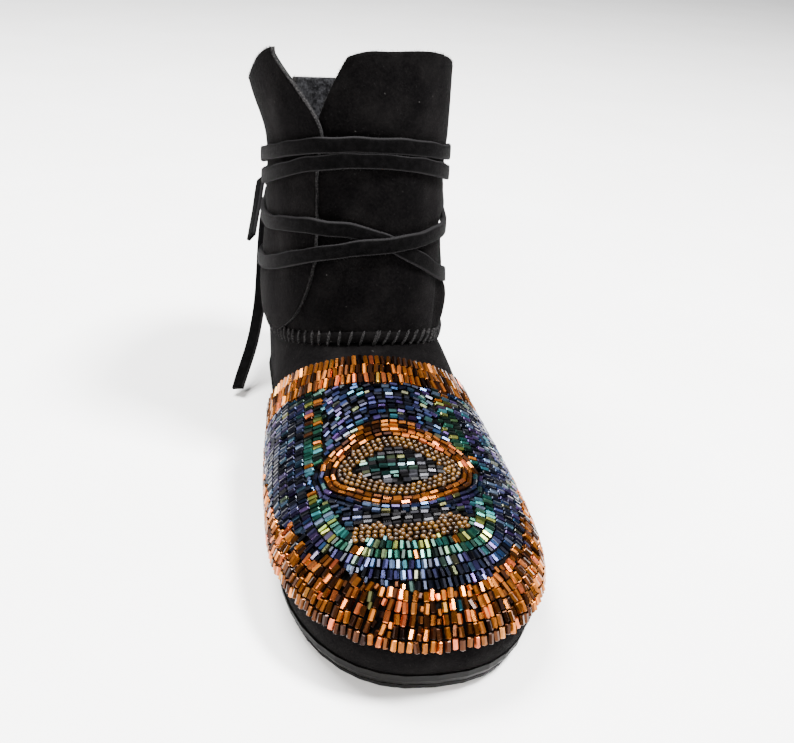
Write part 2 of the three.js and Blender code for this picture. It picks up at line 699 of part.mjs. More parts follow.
// A loose end along its points, with the middle of its thickness on them.
function makeLooseEnd(points, facing) {
  const curve = new THREE.CatmullRomCurve3(points.map((point) => new THREE.Vector3(...point)));
  const frames = [];
  for (let k = 0; k <= LOOSE_END_STEPS; k++) {
    const t = k / LOOSE_END_STEPS;
    const along = curve.getTangent(t);
    const normal = new THREE.Vector3(...facing);
    normal.addScaledVector(along, -normal.dot(along)).normalize();
    const point = curve.getPoint(t).addScaledVector(normal, -THONG_THICKNESS / 2);
    frames.push({ point, normal, across: new THREE.Vector3().crossVectors(normal, along) });
  }
  return stripAlong(frames);
}

// Assembly

const boot = new THREE.Group();
boot.add(
  meshOf("upper", makeUpper(), SUEDE),
  meshOf("bead_panel", makeBeadPanel(), BEADS),
  meshOf("ankle_seam", makeSeam(), SUEDE),
  meshOf("wrap_flap", makeFlap(), SUEDE),
  meshOf("thong_windings", makeWindings(), THONG),
  meshOf(
    "midsole",
    soleLayer([
      { height: MIDSOLE_BOTTOM, outset: -MIDSOLE_TUCK },
      { height: MIDSOLE_BOTTOM + MIDSOLE_THICKNESS / 2, outset: MIDSOLE_SWELL },
      { height: SOLE_TOP, outset: MIDSOLE_LIP },
    ]),
    RUBBER,
  ),
  meshOf(
    "outsole",
    soleLayer([
      { height: 0, outset: -OUTSOLE_TUCK },
      { height: OUTSOLE_THICKNESS / 2, outset: -OUTSOLE_MIDDLE_TUCK },
      { height: OUTSOLE_THICKNESS, outset: -MIDSOLE_TUCK },
    ]),
    RUBBER,
  ),
  meshOf(
    "insole",
    soleLayer([
      { height: FEATHER_HEIGHT, outset: -WALL - 2 * FIT },
      { height: FEATHER_HEIGHT + INSOLE_THICKNESS, outset: -WALL - 2 * FIT },
    ]),
    SOCK,
  ),
);
const bodyBox = new THREE.Box3().setFromObject(boot);
boot.add(
  meshOf("thong_knot", makeKnot(), THONG),
  meshOf("thong_end_long", makeLooseEnd(LONG_END, LONG_END_FACING), THONG),
  meshOf("thong_end_short", makeLooseEnd(SHORT_END, SHORT_END_FACING), THONG),
);

// The origin is on the floor at the middle of the boot's box, without the thong's loose pieces.
const middle = bodyBox.getCenter(new THREE.Vector3());
boot.position.set(-middle.x, -middle.y, 0);

export default boot;
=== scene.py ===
"""Beaded suede ankle boot for the left foot: suede, beadwork, thong, rubber, camera and light."""
import logging
import math
import random
from collections.abc import Callable, Iterable, Sequence
from dataclasses import dataclass, field
from enum import Enum

import bmesh
import bpy
from mathutils import Matrix, Vector
from mathutils.bvhtree import BVHTree


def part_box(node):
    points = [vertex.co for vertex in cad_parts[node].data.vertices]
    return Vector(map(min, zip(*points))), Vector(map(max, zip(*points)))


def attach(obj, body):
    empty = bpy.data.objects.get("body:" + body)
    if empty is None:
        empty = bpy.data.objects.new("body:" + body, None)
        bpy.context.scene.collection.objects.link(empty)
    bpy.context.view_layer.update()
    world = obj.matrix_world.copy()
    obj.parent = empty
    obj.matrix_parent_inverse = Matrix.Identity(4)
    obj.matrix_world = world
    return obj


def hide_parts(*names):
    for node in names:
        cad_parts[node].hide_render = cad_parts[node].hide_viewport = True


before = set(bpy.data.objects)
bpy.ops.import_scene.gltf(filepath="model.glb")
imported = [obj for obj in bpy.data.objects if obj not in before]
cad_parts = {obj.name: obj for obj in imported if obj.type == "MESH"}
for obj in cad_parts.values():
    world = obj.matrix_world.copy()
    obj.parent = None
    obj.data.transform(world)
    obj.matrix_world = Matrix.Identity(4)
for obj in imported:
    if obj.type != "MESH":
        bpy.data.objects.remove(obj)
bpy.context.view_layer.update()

LOG = logging.getLogger("boot")
MM = 0.001
ROOT = "root"


# Small helpers


def smoothstep(value: float, low: float, high: float) -> float:
    """Ease from 0 at low to 1 at high."""
    t = min(1.0, max(0.0, (value - low) / (high - low)))
    return t * t * (3 - 2 * t)


def lerp(a: float, b: float, t: float) -> float:
    """Value a share t of the way from a to b."""
    return a + (b - a) * t


def bisect(low: float, high: float, below: Callable[[float], bool], steps: int = 18) -> float:
    """Last value from low to high at which the test still holds."""
    for _ in range(steps):
        middle = (low + high) / 2
        if below(middle):
            low = middle
        else:
            high = middle
    return low


def spline(p0: Vector, p1: Vector, p2: Vector, p3: Vector, t: float) -> Vector:
    """Point a share t of the way from p1 to p2 on a smooth curve through all four."""
    curve = 2 * p1 + (p2 - p0) * t + (2 * p0 - 5 * p1 + 4 * p2 - p3) * t * t
    return 0.5 * (curve + (3 * p1 - p0 - 3 * p2 + p3) * t**3)


class Table:
    """A short table whose columns are read smoothly along its first one."""

    def __init__(self, columns: Sequence[str], *rows: Sequence[float]) -> None:
        """Keep the rows under their column names."""
        self.keys = [row[0] for row in rows]
        self.columns = {name: [row[i] for row in rows] for i, name in enumerate(columns)}

    def at(self, column: str, place: float) -> float:
        """Smooth value of one column.

        Args:
            column: name of the column.
            place: where to read it along the first column.

        Returns:
            The value there, held at the table's ends.
        """
        keys, values = self.keys, self.columns[column]
        last = len(keys) - 1
        i = max([k for k in range(last) if keys[k] <= place], default=0)

        def slope(k: int) -> float:
            """Slope of the column at one row."""
            low, high = max(0, k - 1), min(last, k + 1)
            return (values[high] - values[low]) / (keys[high] - keys[low])

        span = keys[i + 1] - keys[i]
        t = min(1.0, max(0.0, (place - keys[i]) / span))
        rise = values[i + 1] - values[i]
        bend_in, bend_out = slope(i) * span - rise, rise - slope(i + 1) * span
        return lerp(values[i], values[i + 1], t) + t * (1 - t) * (bend_in * (1 - t) + bend_out * t)


# The boot's form, in millimetres


@dataclass(frozen=True)
class Last:
    """The foot and shaft that the leather is shaped over."""

    length: float = 252.0
    ball_width: float = 85.0
    toe_round: float = 62.0
    toe_bluntness: float = 2.4
    heel_round: float = 40.0
    instep: float = 60.0
    toe_ridge: float = 44.0
    heel_ridge: float = 38.0
    bulge: float = 5.0
    bulge_drop: float = 0.6
    feather: float = 7.6
    toe_spring: float = 1.2
    spring_length: float = 60.0
    seam_front: float = 61.0
    seam_back: float = 42.0
    collar_front: float = 161.0
    collar_back: float = 134.0
    shaft_width: float = 69.0
    lean: float = 1.0
    shaft_fullness: float = 2.3
    foot: Table = Table(
        ("share", "inner", "outer", "ridge", "fullness", "bulge"),
        (0.0, 0.482, 0.472, 0.6, 2.1, 1.0), (0.18, 0.484, 0.486, 0.68, 2.1, 1.0),
        (0.33, 0.468, 0.472, 0.83, 2.15, 0.95), (0.47, 0.43, 0.434, 0.97, 2.3, 0.8),
        (0.62, 0.375, 0.405, 1.04, 3.2, 0.5), (0.85, 0.342, 0.388, 1.0, 3.4, 0.35),
        (1.0, 0.335, 0.38, 0.92, 3.0, 0.35),
    )
    rings: Table = Table(
        ("share", "front", "back", "width"),
        (-0.4, 0.53, 0.925, 0.8), (0.0, 0.487, 0.962, 1.0), (0.35, 0.506, 0.955, 0.968),
        (0.7, 0.524, 0.952, 0.965), (1.0, 0.54, 0.957, 1.0), (1.4, 0.56, 0.96, 1.02),
    )
    seam: Table = Table(
        ("from_toe", "share"),
        (0.455, 1.25), (0.5, 0.97), (0.56, 0.66), (0.65, 0.38), (0.8, 0.18), (1.03, 0.02),
    )

    def half_width(self, from_toe: float, side: int) -> float:
        """Half width of the feather edge on the inner (-1) or outer (1) side."""
        width = self.foot.at("inner" if side < 0 else "outer", from_toe / self.length)
        toe = max(0.0, 1 - from_toe / self.toe_round) ** self.toe_bluntness
        heel = max(0.0, 1 - (self.length - from_toe) / self.heel_round) ** 2
        rounded = max(0.0, 1 - toe) ** (1 / self.toe_bluntness) * math.sqrt(max(0.0, 1 - heel))
        return width * self.ball_width * rounded

    def ridge(self, from_toe: float) -> Vector:
        """Point of the top line that the arch above a station rises to."""
        place = (from_toe**3 + self.toe_ridge**3) ** (1 / 3)
        eased = (max(0.0, self.length - place) ** 3 + self.heel_ridge**3) ** (1 / 3)
        place = self.length - min(eased, self.length - self.toe_ridge)
        middle = (self.half_width(place, 1) - self.half_width(place, -1)) / 2
        height = self.foot.at("ridge", place / self.length) * self.instep
        return Vector((middle, place - self.length / 2, height))

    def foot_skin(self, around: float, rise: float) -> Vector:
        """Point of the foot's skin.

        Args:
            around: 0 at the toe, -1 or 1 at the heel by the inner or outer side.
            rise: 0 at the feather edge and 1 at the top line.

        Returns:
            The point in millimetres.
        """
        around = 2 - around if around > 1 else -2 - around if around < -1 else around
        side = -1 if around < 0 else 1
        from_toe = self.length * (1 - math.cos(math.pi * abs(around))) / 2
        fullness = self.foot.at("fullness", from_toe / self.length)
        ridge = self.ridge(from_toe)
        lift = max(0.0, 1 - from_toe / self.spring_length) ** 2
        floor = self.feather + self.toe_spring * lift
        edge = Vector((side * self.half_width(from_toe, side), from_toe - self.length / 2))
        spoke = edge - ridge.xy
        turn = math.pi / 2 * rise
        out = max(0.0, math.cos(turn)) ** (2 / fullness)
        up = math.sin(turn) ** (2 / fullness)
        swell = self.foot.at("bulge", from_toe / self.length) * self.bulge
        swell *= math.sin(math.pi * rise**self.bulge_drop) ** 2
        reach = (spoke.length * out + swell) / spoke.length
        flat = ridge.xy + spoke * reach
        return Vector((flat.x, flat.y, lerp(floor, ridge.z, up)))

    def shaft_skin(self, azimuth: float, share: float) -> Vector:
        """Point of the shaft's skin.

        Args:
            azimuth: degrees from the front, minus towards the inner side.
            share: height from the seam (0) to the collar (1).

        Returns:
            The point in millimetres.
        """
        turn = math.radians(azimuth)

        def power(value: float) -> float:
            """Power that squares the ring off, with the value's sign."""
            return math.copysign(abs(value) ** (2 / self.shaft_fullness), value)

        front = (self.rings.at("front", share) - 0.5) * self.length
        back = (self.rings.at("back", share) - 0.5) * self.length
        half = self.rings.at("width", share) * self.shaft_width / 2
        y = (front + back) / 2 - (back - front) / 2 * power(math.cos(turn))
        depth = (y - front) / (back - front)
        low = lerp(self.seam_front, self.collar_front, share)
        high = lerp(self.seam_back, self.collar_back, share)
        return Vector((self.lean + half * power(math.sin(turn)), y, lerp(low, high, depth)))

    def shaft_normal(self, azimuth: float, share: float) -> Vector:
        """Outward normal of the shaft's skin."""
        along = self.shaft_skin(azimuth + 2, share) - self.shaft_skin(azimuth - 2, share)
        upward = self.shaft_skin(azimuth, share + 0.02) - self.shaft_skin(azimuth, share - 0.02)
        return along.cross(upward).normalized()

    def shaft_point(self, azimuth: float, share: float, outset: float = 0.0) -> Vector:
        """Point a distance outside the shaft's skin."""
        return self.shaft_skin(azimuth, share) + self.shaft_normal(azimuth, share) * outset

    def in_shaft(self, point: Vector) -> float:
        """How deep a point is inside the shaft: under 1 inside, over 1 outside."""
        share = 0.0
        for _ in range(5):
            front = (self.rings.at("front", share) - 0.5) * self.length
            back = (self.rings.at("back", share) - 0.5) * self.length
            depth = min(1.0, max(0.0, (point.y - front) / (back - front)))
            low = lerp(self.seam_front, self.seam_back, depth)
            share = (point.z - low) / (lerp(self.collar_front, self.collar_back, depth) - low)
        half = self.rings.at("width", share) * self.shaft_width / 2
        wide = abs(point.x - self.lean) / half
        deep = abs(point.y - (front + back) / 2) / ((back - front) / 2)
        return wide**self.shaft_fullness + deep**self.shaft_fullness

    def seam_height(self, y: float) -> float:
        """Height of the seam between foot and shaft, as seen from the side."""
        share = self.seam.at("share", (y + self.length / 2) / self.length)
        return lerp(self.seam_back, self.seam_front, share)

    def seam_share(self, azimuth: float, drop: float = 0.0) -> float:
        """Height share on the shaft where the seam passes, or a drop below it."""

        def below(share: float) -> bool:
            """Whether the shaft's skin is still under the seam."""
            point = self.shaft_skin(azimuth, share)
            return point.z < self.seam_height(point.y) - drop

        return bisect(-0.38, 0.4, below)


LAST = Last()
ORIGIN = (Vector(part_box("outsole")[0]) + Vector(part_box("outsole")[1])) / 2
ORIGIN.z = 0.0


def place(point: Vector) -> Vector:
    """Metres in the frame from millimetres on the boot."""
    return point * MM + ORIGIN


def toe_distance(point: Vector) -> float:
    """How far a point is from the toe, in millimetres."""
    return point.y + LAST.length / 2


def side_of(point: Vector) -> str:
    """Name of the side that a point is on."""
    return "inner" if point.x < 0 else "outer"


# Shaders


class Link:
    """A shader socket that takes part in expressions."""

    def __init__(self, shader: "Shader", socket: bpy.types.NodeSocket) -> None:
        """Wrap one output socket."""
        self.shader, self.socket = shader, socket

    def _math(self, operation: str, a: object, b: object) -> "Link":
        """Add one Math node."""
        return self.shader.node("ShaderNodeMath", {"operation": operation}, {0: a, 1: b})

    def __add__(self, other: object) -> "Link":
        """Sum."""
        return self._math("ADD", self, other)

    def __sub__(self, other: object) -> "Link":
        """Difference."""
        return self._math("SUBTRACT", self, other)

    def __rsub__(self, other: object) -> "Link":
        """Reflected difference."""
        return self._math("SUBTRACT", other, self)

    def __mul__(self, other: object) -> "Link":
        """Product."""
        return self._math("MULTIPLY", self, other)

    def step(self, low: float, high: float) -> "Link":
        """Smooth step from low to high."""
        settings = {"interpolation_type": "SMOOTHSTEP"}
        return self.shader.node("ShaderNodeMapRange", settings, {0: self, 1: low, 2: high})

    __radd__ = __add__
    __rmul__ = __mul__


Colour = tuple[float, float, float]


class Shader:
    """One material and its nodes."""

    def __init__(self, name: str, **constants: object) -> None:
        """Start a material.

        Args:
            name: the material's name.
            constants: values of the surface's sockets, spaces written as underscores.
        """
        self.material = bpy.data.materials.new(name)
        self.material.use_nodes = True
        self.tree = self.material.node_tree
        self.surface = self.tree.nodes["Principled BSDF"]
        for key, value in constants.items():
            socket = self.surface.inputs[key.replace("_", " ")]
            socket.default_value = (*value, 1) if isinstance(value, tuple) else value

    def node(
        self, kind: str, settings: dict | None = None, inputs: dict | None = None, out: int | str = 0
    ) -> Link:
        """Add a node.

        Args:
            kind: the node's type.
            settings: properties, or ramp stops under "stops".
            inputs: values or links by socket.
            out: the output to return.

        Returns:
            The chosen output.
        """
        made = self.tree.nodes.new(kind)
        for key, value in (settings or {}).items():
            if key == "stops":
                self._ramp(made.color_ramp, value)
            else:
                setattr(made, key, value)
        for key, value in (inputs or {}).items():
            self.feed(made.inputs[key], value)
        return Link(self, made.outputs[out])

    def _ramp(self, ramp: bpy.types.ColorRamp, stops: Sequence[tuple[float, Colour]]) -> None:
        """Write a colour ramp's stops."""
        while len(ramp.elements) < len(stops):
            ramp.elements.new(0.5)
        for element, (position, colour) in zip(ramp.elements, stops):
            element.position = position
            element.color = (*colour, 1)

    def feed(self, socket: bpy.types.NodeSocket, value: object) -> None:
        """Link or set one input."""
        if isinstance(value, Link):
            self.tree.links.new(value.socket, socket)
        elif isinstance(value, tuple) and len(value) == 3 and socket.type == "RGBA":
            socket.default_value = (*value, 1)
        else:
            socket.default_value = value

    def out(self, name: str, value: object) -> None:
        """Feed one socket of the surface."""
        self.feed(self.surface.inputs[name], value)

    def coordinates(self) -> Link:
        """Object coordinates."""
        return self.node("ShaderNodeTexCoord", out="Object")

    def noise(self, scale: float, detail: float = 3, rough: float = 0.6) -> Link:
        """Noise of a scale in repeats a metre."""
        inputs = {"Vector": self.coordinates(), "Scale": scale, "Detail": detail, "Roughness": rough}
        return self.node("ShaderNodeTexNoise", {}, inputs)

    def mix(self, factor: object, a: object, b: object) -> Link:
        """Mix two colours."""
        return self.node("ShaderNodeMix", {"data_type": "RGBA"}, {0: factor, 6: a, 7: b}, out=2)

    def bump(self, height: Link, distance: float, strength: float = 1.0, under: Link | None = None) -> Link:
        """Bump of a height, in metres, on top of another normal."""
        inputs = {"Height": height, "Distance": distance, "Strength": strength}
        if under:
            inputs["Normal"] = under
        return self.node("ShaderNodeBump", {}, inputs)


@dataclass(frozen=True)
class Suede:
    """Brushed black suede: matt, soft, with nap and lint."""

    name: str = "black_suede"
    dark: Colour = (0.0007, 0.0006, 0.0007)
    brushed: Colour = (0.0042, 0.0038, 0.0038)
    lint: Colour = (0.09, 0.086, 0.082)

    def build(self) -> bpy.types.Material:
        """Make the material."""
        s = Shader(self.name, Roughness=0.98, Specular_IOR_Level=0.015, Sheen_Weight=0.008,
                   Sheen_Roughness=0.5, Sheen_Tint=(0.5, 0.47, 0.47))
        patches = s.noise(55, 4, 0.65).step(0.38, 0.72)
        nap = s.noise(900, 5, 0.7)
        colour = s.mix(patches * 0.6 + nap.step(0.35, 0.75) * 0.4, self.dark, self.brushed)
        specks = s.noise(620, 2, 0.5).step(0.755, 0.8)
        s.out("Base Color", s.mix(specks * 0.35, colour, self.lint))
        coarse = s.bump(s.noise(190, 3), 0.0009, 0.35)
        s.out("Normal", s.bump(nap, 0.0004, 0.8, coarse))
        return s.material


@dataclass(frozen=True)
class RawEdge:
    """The cut edge and fleshy side of suede."""

    name: str = "raw_suede_edge"
    dark: Colour = (0.003, 0.003, 0.0033)
    pale: Colour = (0.036, 0.034, 0.034)

    def build(self) -> bpy.types.Material:
        """Make the material."""
        s = Shader(self.name, Roughness=0.97, Specular_IOR_Level=0.02, Sheen_Weight=0.02)
        fibres = s.noise(1500, 5, 0.75)
        s.out("Base Color", s.mix(fibres.step(0.4, 0.7), self.dark, self.pale))
        s.out("Normal", s.bump(fibres, 0.0006))
        return s.material


@dataclass(frozen=True)
class Fleece:
    """Dark curly lining."""

    name: str = "dark_fleece"
    dark: Colour = (0.003, 0.003, 0.0035)
    light: Colour = (0.03, 0.03, 0.033)

    def build(self) -> bpy.types.Material:
        """Make the material."""
        s = Shader(self.name, Roughness=1.0, Specular_IOR_Level=0.02, Sheen_Weight=0.03)
        curls = s.noise(420, 4, 0.7)
        s.out("Base Color", s.mix(curls.step(0.35, 0.75), self.dark, self.light))
        s.out("Normal", s.bump(curls, 0.0016))
        return s.material


@dataclass(frozen=True)
class ThongLeather:
    """Black split leather of the thong, its cut edges greyer."""

    name: str = "thong_leather"
    face: Colour = (0.0006, 0.00055, 0.0006)
    edge: Colour = (0.0125, 0.012, 0.0125)

    def build(self) -> bpy.types.Material:
        """Make the material."""
        s = Shader(self.name, Specular_IOR_Level=0.012, Sheen_Weight=0.004)
        across = s.node("ShaderNodeAttribute", {"attribute_name": "rim"}, out="Fac")
        fibres = s.noise(1300, 5, 0.7)
        grain = s.noise(420, 4, 0.65)
        rim = across.step(0.62, 0.98) * (0.45 + fibres * 0.9)
        base = s.mix(grain.step(0.35, 0.75) * 0.6, self.face, (0.0028, 0.0026, 0.0028))
        s.out("Base Color", s.mix(rim, base, self.edge))
        s.out("Roughness", 0.74 + rim * 0.22)
        s.out("Normal", s.bump(fibres, 0.0003, 0.6, s.bump(grain, 0.0005, 0.5)))
        return s.material


@dataclass(frozen=True)
class Rubber:
    """Smooth rubber with dust and scuffs."""

    name: str
    base: Colour
    dust: Colour
    gloss: float

    def build(self) -> bpy.types.Material:
        """Make the material."""
        s = Shader(self.name, Specular_IOR_Level=0.07)
        cloud = s.noise(70, 5, 0.7).step(0.42, 0.8)
        grit = s.noise(1100, 3).step(0.62, 0.75)
        s.out("Base Color", s.mix(cloud * 0.7 + grit * 0.35, self.base, self.dust))
        s.out("Roughness", self.gloss + cloud * 0.25)
        scuffs = s.noise(260, 5, 0.7)
        s.out("Normal", s.bump(scuffs, 0.00025, 0.6))
        return s.material


@dataclass(frozen=True)
class Glass:
    """One colour family of beads; each bead draws its own shade from the ramp."""

    name: str
    stops: tuple[tuple[float, Colour], ...]
    metal: float
    rough: float
    coat: float = 0.08
    gloss: float = 0.6

    def build(self) -> bpy.types.Material:
        """Make the material."""
        s = Shader(self.name, Metallic=self.metal, Coat_Weight=self.coat, Coat_Roughness=0.04,
                   Specular_IOR_Level=self.gloss)
        shade = s.node("ShaderNodeAttribute", {"attribute_name": "shade"}, out="Fac")
        lustre = s.node("ShaderNodeAttribute", {"attribute_name": "lustre"}, out="Fac")
        ramp = s.node("ShaderNodeValToRGB", {"stops": self.stops}, {0: shade})
        cloudy = s.noise(700, 2)
        tone = s.mix(cloudy.step(0.3, 0.8) * 0.4, ramp, (0.004, 0.004, 0.005))
        s.out("Base Color", tone)
        s.out("Roughness", self.rough + lustre * 0.25)
        s.out("Normal", s.bump(cloudy, 0.00012, 0.3))
        return s.material


SUEDE = Suede()
RAW_EDGE = RawEdge()
FLEECE = Fleece()
THONG_LEATHER = ThongLeather()
MIDSOLE_RUBBER = Rubber("midsole_rubber", (0.0022, 0.0021, 0.0021), (0.008, 0.0072, 0.0065), 0.5)
# Tread rubber of the outsole, also used as painted shade in the bead holes.
TREAD_RUBBER_AND_HOLE_SHADE = Rubber("tread_rubber", (0.003, 0.003, 0.003), (0.012, 0.011, 0.01), 0.65)


class Family(Enum):
    """Colour families of the beads."""

    COPPER = Glass("copper_beads", (
        (0.0, (0.009, 0.0025, 0.001)), (0.22, (0.05, 0.014, 0.002)), (0.45, (0.14, 0.041, 0.004)),
        (0.66, (0.31, 0.092, 0.008)), (0.82, (0.52, 0.155, 0.016)), (0.93, (0.55, 0.11, 0.04)),
        (1.0, (0.24, 0.13, 0.012))), 0.95, 0.16)
    IRIS = Glass("blue_iris_beads", (
        (0.0, (0.001, 0.001, 0.003)), (0.3, (0.003, 0.005, 0.013)), (0.48, (0.01, 0.008, 0.034)),
        (0.62, (0.007, 0.026, 0.07)), (0.74, (0.04, 0.015, 0.075)), (0.84, (0.01, 0.08, 0.1)),
        (0.92, (0.06, 0.055, 0.012)), (1.0, (0.09, 0.14, 0.25))), 0.93, 0.17)
    GREEN = Glass("green_iris_beads", (
        (0.0, (0.002, 0.005, 0.004)), (0.25, (0.004, 0.015, 0.01)), (0.42, (0.007, 0.048, 0.027)),
        (0.56, (0.01, 0.09, 0.08)), (0.68, (0.05, 0.072, 0.012)), (0.8, (0.17, 0.17, 0.03)),
        (0.9, (0.025, 0.18, 0.2)), (1.0, (0.08, 0.03, 0.09))), 0.93, 0.17)
    # Dark beads: some are drawn at random in the blue field. They are also painted shade: the blue lanes take
    # more of them towards the inner side.
    DARK_AND_SHADED = Glass("dark_and_shaded_iris_beads", (
        (0.0, (0.0008, 0.0008, 0.002)), (0.4, (0.002, 0.003, 0.009)), (0.65, (0.009, 0.004, 0.025)),
        (0.85, (0.004, 0.02, 0.035)), (1.0, (0.04, 0.02, 0.07))), 0.9, 0.2)
    CHARCOAL = Glass("charcoal_beads", (
        (0.0, (0.0015, 0.0015, 0.0015)), (0.5, (0.006, 0.0055, 0.006)), (0.78, (0.016, 0.015, 0.018)),
        (0.93, (0.05, 0.05, 0.06)), (1.0, (0.12, 0.12, 0.13))), 0.88, 0.2)
    TEAL = Glass("teal_beads", (
        (0.0, (0.002, 0.006, 0.006)), (0.35, (0.008, 0.036, 0.032)), (0.6, (0.03, 0.065, 0.05)),
        (0.8, (0.09, 0.09, 0.025)), (1.0, (0.09, 0.14, 0.16))), 0.9, 0.18)
    AMBER = Glass("amber_seed_beads", (
        (0.0, (0.01, 0.004, 0.0005)), (0.4, (0.034, 0.0135, 0.0012)), (0.75, (0.07, 0.029, 0.003)),
        (1.0, (0.13, 0.06, 0.009))), 0.0, 0.16, 0.0, 0.42)


# Building blocks


def as_object(name: str, bm: bmesh.types.BMesh, *finishes: object, smooth: bool = True) -> bpy.types.Object:
    """Turn a bmesh into a finished object at the origin.

    Args:
        name: the object's name.
        bm: the mesh, in metres in the frame. It is freed.
        finishes: one finish for each material slot.
        smooth: shade the faces smooth.

    Returns:
        The object, riding on the boot's one body.
    """
    mesh = bpy.data.meshes.new(name)
    for face in bm.faces:
        face.smooth = smooth
    bm.to_mesh(mesh)
    bm.free()
    for finish in finishes:
        mesh.materials.append(material_of(finish))
    made = bpy.data.objects.new(name, mesh)
    bpy.context.scene.collection.objects.link(made)
    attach(made, ROOT)
    LOG.info("%s: %d faces", name, len(mesh.polygons))
    return made


def stand_in(node: str) -> None:
    """Hide a node of the frame that a piece stands in for."""
    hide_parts(node)


def stamp(bm: bmesh.types.BMesh, mesh: bpy.types.Mesh, moves: Iterable[Matrix]) -> None:
    """Add a copy of a mesh at each placing."""
    for move in moves:
        copy = mesh.copy()
        copy.transform(move)
        bm.from_mesh(copy)
        bpy.data.meshes.remove(copy)


BUILT: dict[str, bpy.types.Material] = {}


def material_of(finish: object) -> bpy.types.Material:
    """The finish's material, made once."""
    if finish.name not in BUILT:
        BUILT[finish.name] = finish.build()
    return BUILT[finish.name]


def sheet(columns: int, rows: int, form: Callable[[float, float], Vector]) -> bmesh.types.BMesh:
    """A grid bent into a form.

    Args:
        columns: cells along the first direction.
        rows: cells along the second.
        form: the point in millimetres for two shares from 0 to 1.

    Returns:
        The bent grid in metres.
    """
    bm = bmesh.new()
    bmesh.ops.create_grid(bm, x_segments=columns, y_segments=rows, size=0.5)
    for vertex in bm.verts:
        vertex.co = place(form(vertex.co.x + 0.5, vertex.co.y + 0.5))
    return bm


def thicken(piece: bpy.types.Object, thickness: float, rim: int = 0, inside: int = 0) -> None:
    """Give a sheet its wall, inwards, with other materials for its rim and its inside."""
    wall = piece.modifiers.new("wall", "SOLIDIFY")
    wall.thickness = thickness * MM
    wall.offset = -1
    wall.use_quality_normals = True
    wall.material_offset = inside
    wall.material_offset_rim = rim


def face_outwards(bm: bmesh.types.BMesh, normal_up: Callable[[bmesh.types.BMFace], bool]) -> None:
    """Turn all faces over where the first one looks inwards."""
    bm.normal_update()
    bm.faces.ensure_lookup_table()
    if not normal_up(bm.faces[0]):
        bmesh.ops.reverse_faces(bm, faces=bm.faces)


# Creases


@dataclass(frozen=True)
class Crease:
    """One soft fold of the shaft: a ridge (positive) or a trough."""

    azimuth: float
    share: float
    length: float
    width: float
    slant: float
    depth: float

    def height(self, azimuth: float, share: float) -> float:
        """Height that the fold adds, in millimetres."""
        across = (azimuth - self.azimuth + 180) % 360 - 180
        x, y = across * 0.8, (share - self.share) * 100
        turn = math.radians(self.slant)
        along = x * math.sin(turn) + y * math.cos(turn)
        aside = x * math.cos(turn) - y * math.sin(turn)
        return self.depth * math.exp(-((along / self.length) ** 2) - (aside / self.width) ** 2)


SHAFT_CREASES = (
    Crease(58, 0.1, 12, 3.2, 8, 2.2),
    Crease(48, 0.09, 12, 3.0, 10, -1.3),
    Crease(70, 0.12, 10, 3.4, 4, -1.2),
    Crease(20, 0.05, 9, 5, 75, 0.8),
    Crease(-12, 0.13, 16, 5, 80, -0.8),
    Crease(30, 0.22, 14, 5, 60, 0.7),
    Crease(5, 0.5, 22, 7, 15, 0.7),
    Crease(35, 0.52, 16, 6, -18, -0.8),
    Crease(110, 0.3, 20, 6, 70, 1.0),
    Crease(125, 0.14, 18, 5, 82, -1.1),
    Crease(178, 0.12, 5, 26, 2, 1.3),
    Crease(180, 0.25, 4.5, 30, -4, -1.2),
    Crease(182, 0.38, 5, 26, 3, 1.0),
    Crease(215, 0.2, 15, 6, 66, 1.0),
    Crease(150, 0.85, 18, 8, 10, 0.9),
    Crease(95, 0.85, 16, 8, -12, -0.9),
    Crease(22, 0.86, 14, 7, 12, 0.9),
    Crease(-95, 0.25, 20, 6, 20, 0.9),
    Crease(-70, 0.3, 18, 6, -10, -0.9),
    Crease(-60, 0.82, 13, 6, 20, 0.8),
)

# Thong

THONG_WIDTH = 5.5
THONG_THICKNESS = 1.7
FLAP_ROOT = -152.0
FLAP_FRONT = -33.0
TURN_STEP = 9.0
FLAP_THICKNESS = 1.8
FIT = 0.3
FACET_ROOM = 0.25

THONG_ROUTE = Table(
    ("azimuth", "share", "layer"),
    (-134, 0.44, 0), (-87, 0.385, 0), (-60, 0.402, 0), (-37, 0.413, 0), (-8, 0.397, 0), (15.5, 0.319, 0),
    (51.5, 0.21, 0), (90, 0.15, 0), (135, 0.145, 0), (180, 0.155, 0), (225, 0.165, 0), (258, 0.183, 0),
    (283, 0.215, 0), (306, 0.265, 0), (324, 0.306, 0), (345, 0.338, 0.55), (358, 0.351, 0.95),
    (375, 0.368, 0.95), (392, 0.381, 0.4), (423, 0.392, 0), (442, 0.415, 0.4), (455, 0.455, 2.6),
    (468, 0.51, 4.2), (482, 0.55, 2.6), (498, 0.565, 0.4), (515, 0.565, 0), (560, 0.56, 0), (600, 0.55, 0),
    (625, 0.552, 0), (650, 0.59, 0), (682, 0.64, 0), (722, 0.651, 0), (783, 0.6, 0), (830, 0.6, 0.9),
    (900, 0.625, 0.4), (960, 0.63, 0.4), (990, 0.653, 0), (1042, 0.7, 0), (1076, 0.71, 0), (1145, 0.676, 0),
    (1200, 0.685, 0), (1260, 0.69, 0), (1288, 0.665, 0.6), (1300, 0.575, 1.1),
)


def thong_lift(azimuth: float, layer: float) -> float:
    """How far the thong's underside clears the shaft's skin: it climbs over the flap."""
    turn = (azimuth + 180) % 360 - 180
    over = smoothstep(turn, FLAP_ROOT - 2 * TURN_STEP, FLAP_ROOT - TURN_STEP / 2)
    over *= 1 - smoothstep(turn, FLAP_FRONT + TURN_STEP / 2, FLAP_FRONT + 2 * TURN_STEP)
    return FIT + FACET_ROOM + over * (FLAP_THICKNESS + FIT) + max(0.0, layer) * THONG_THICKNESS


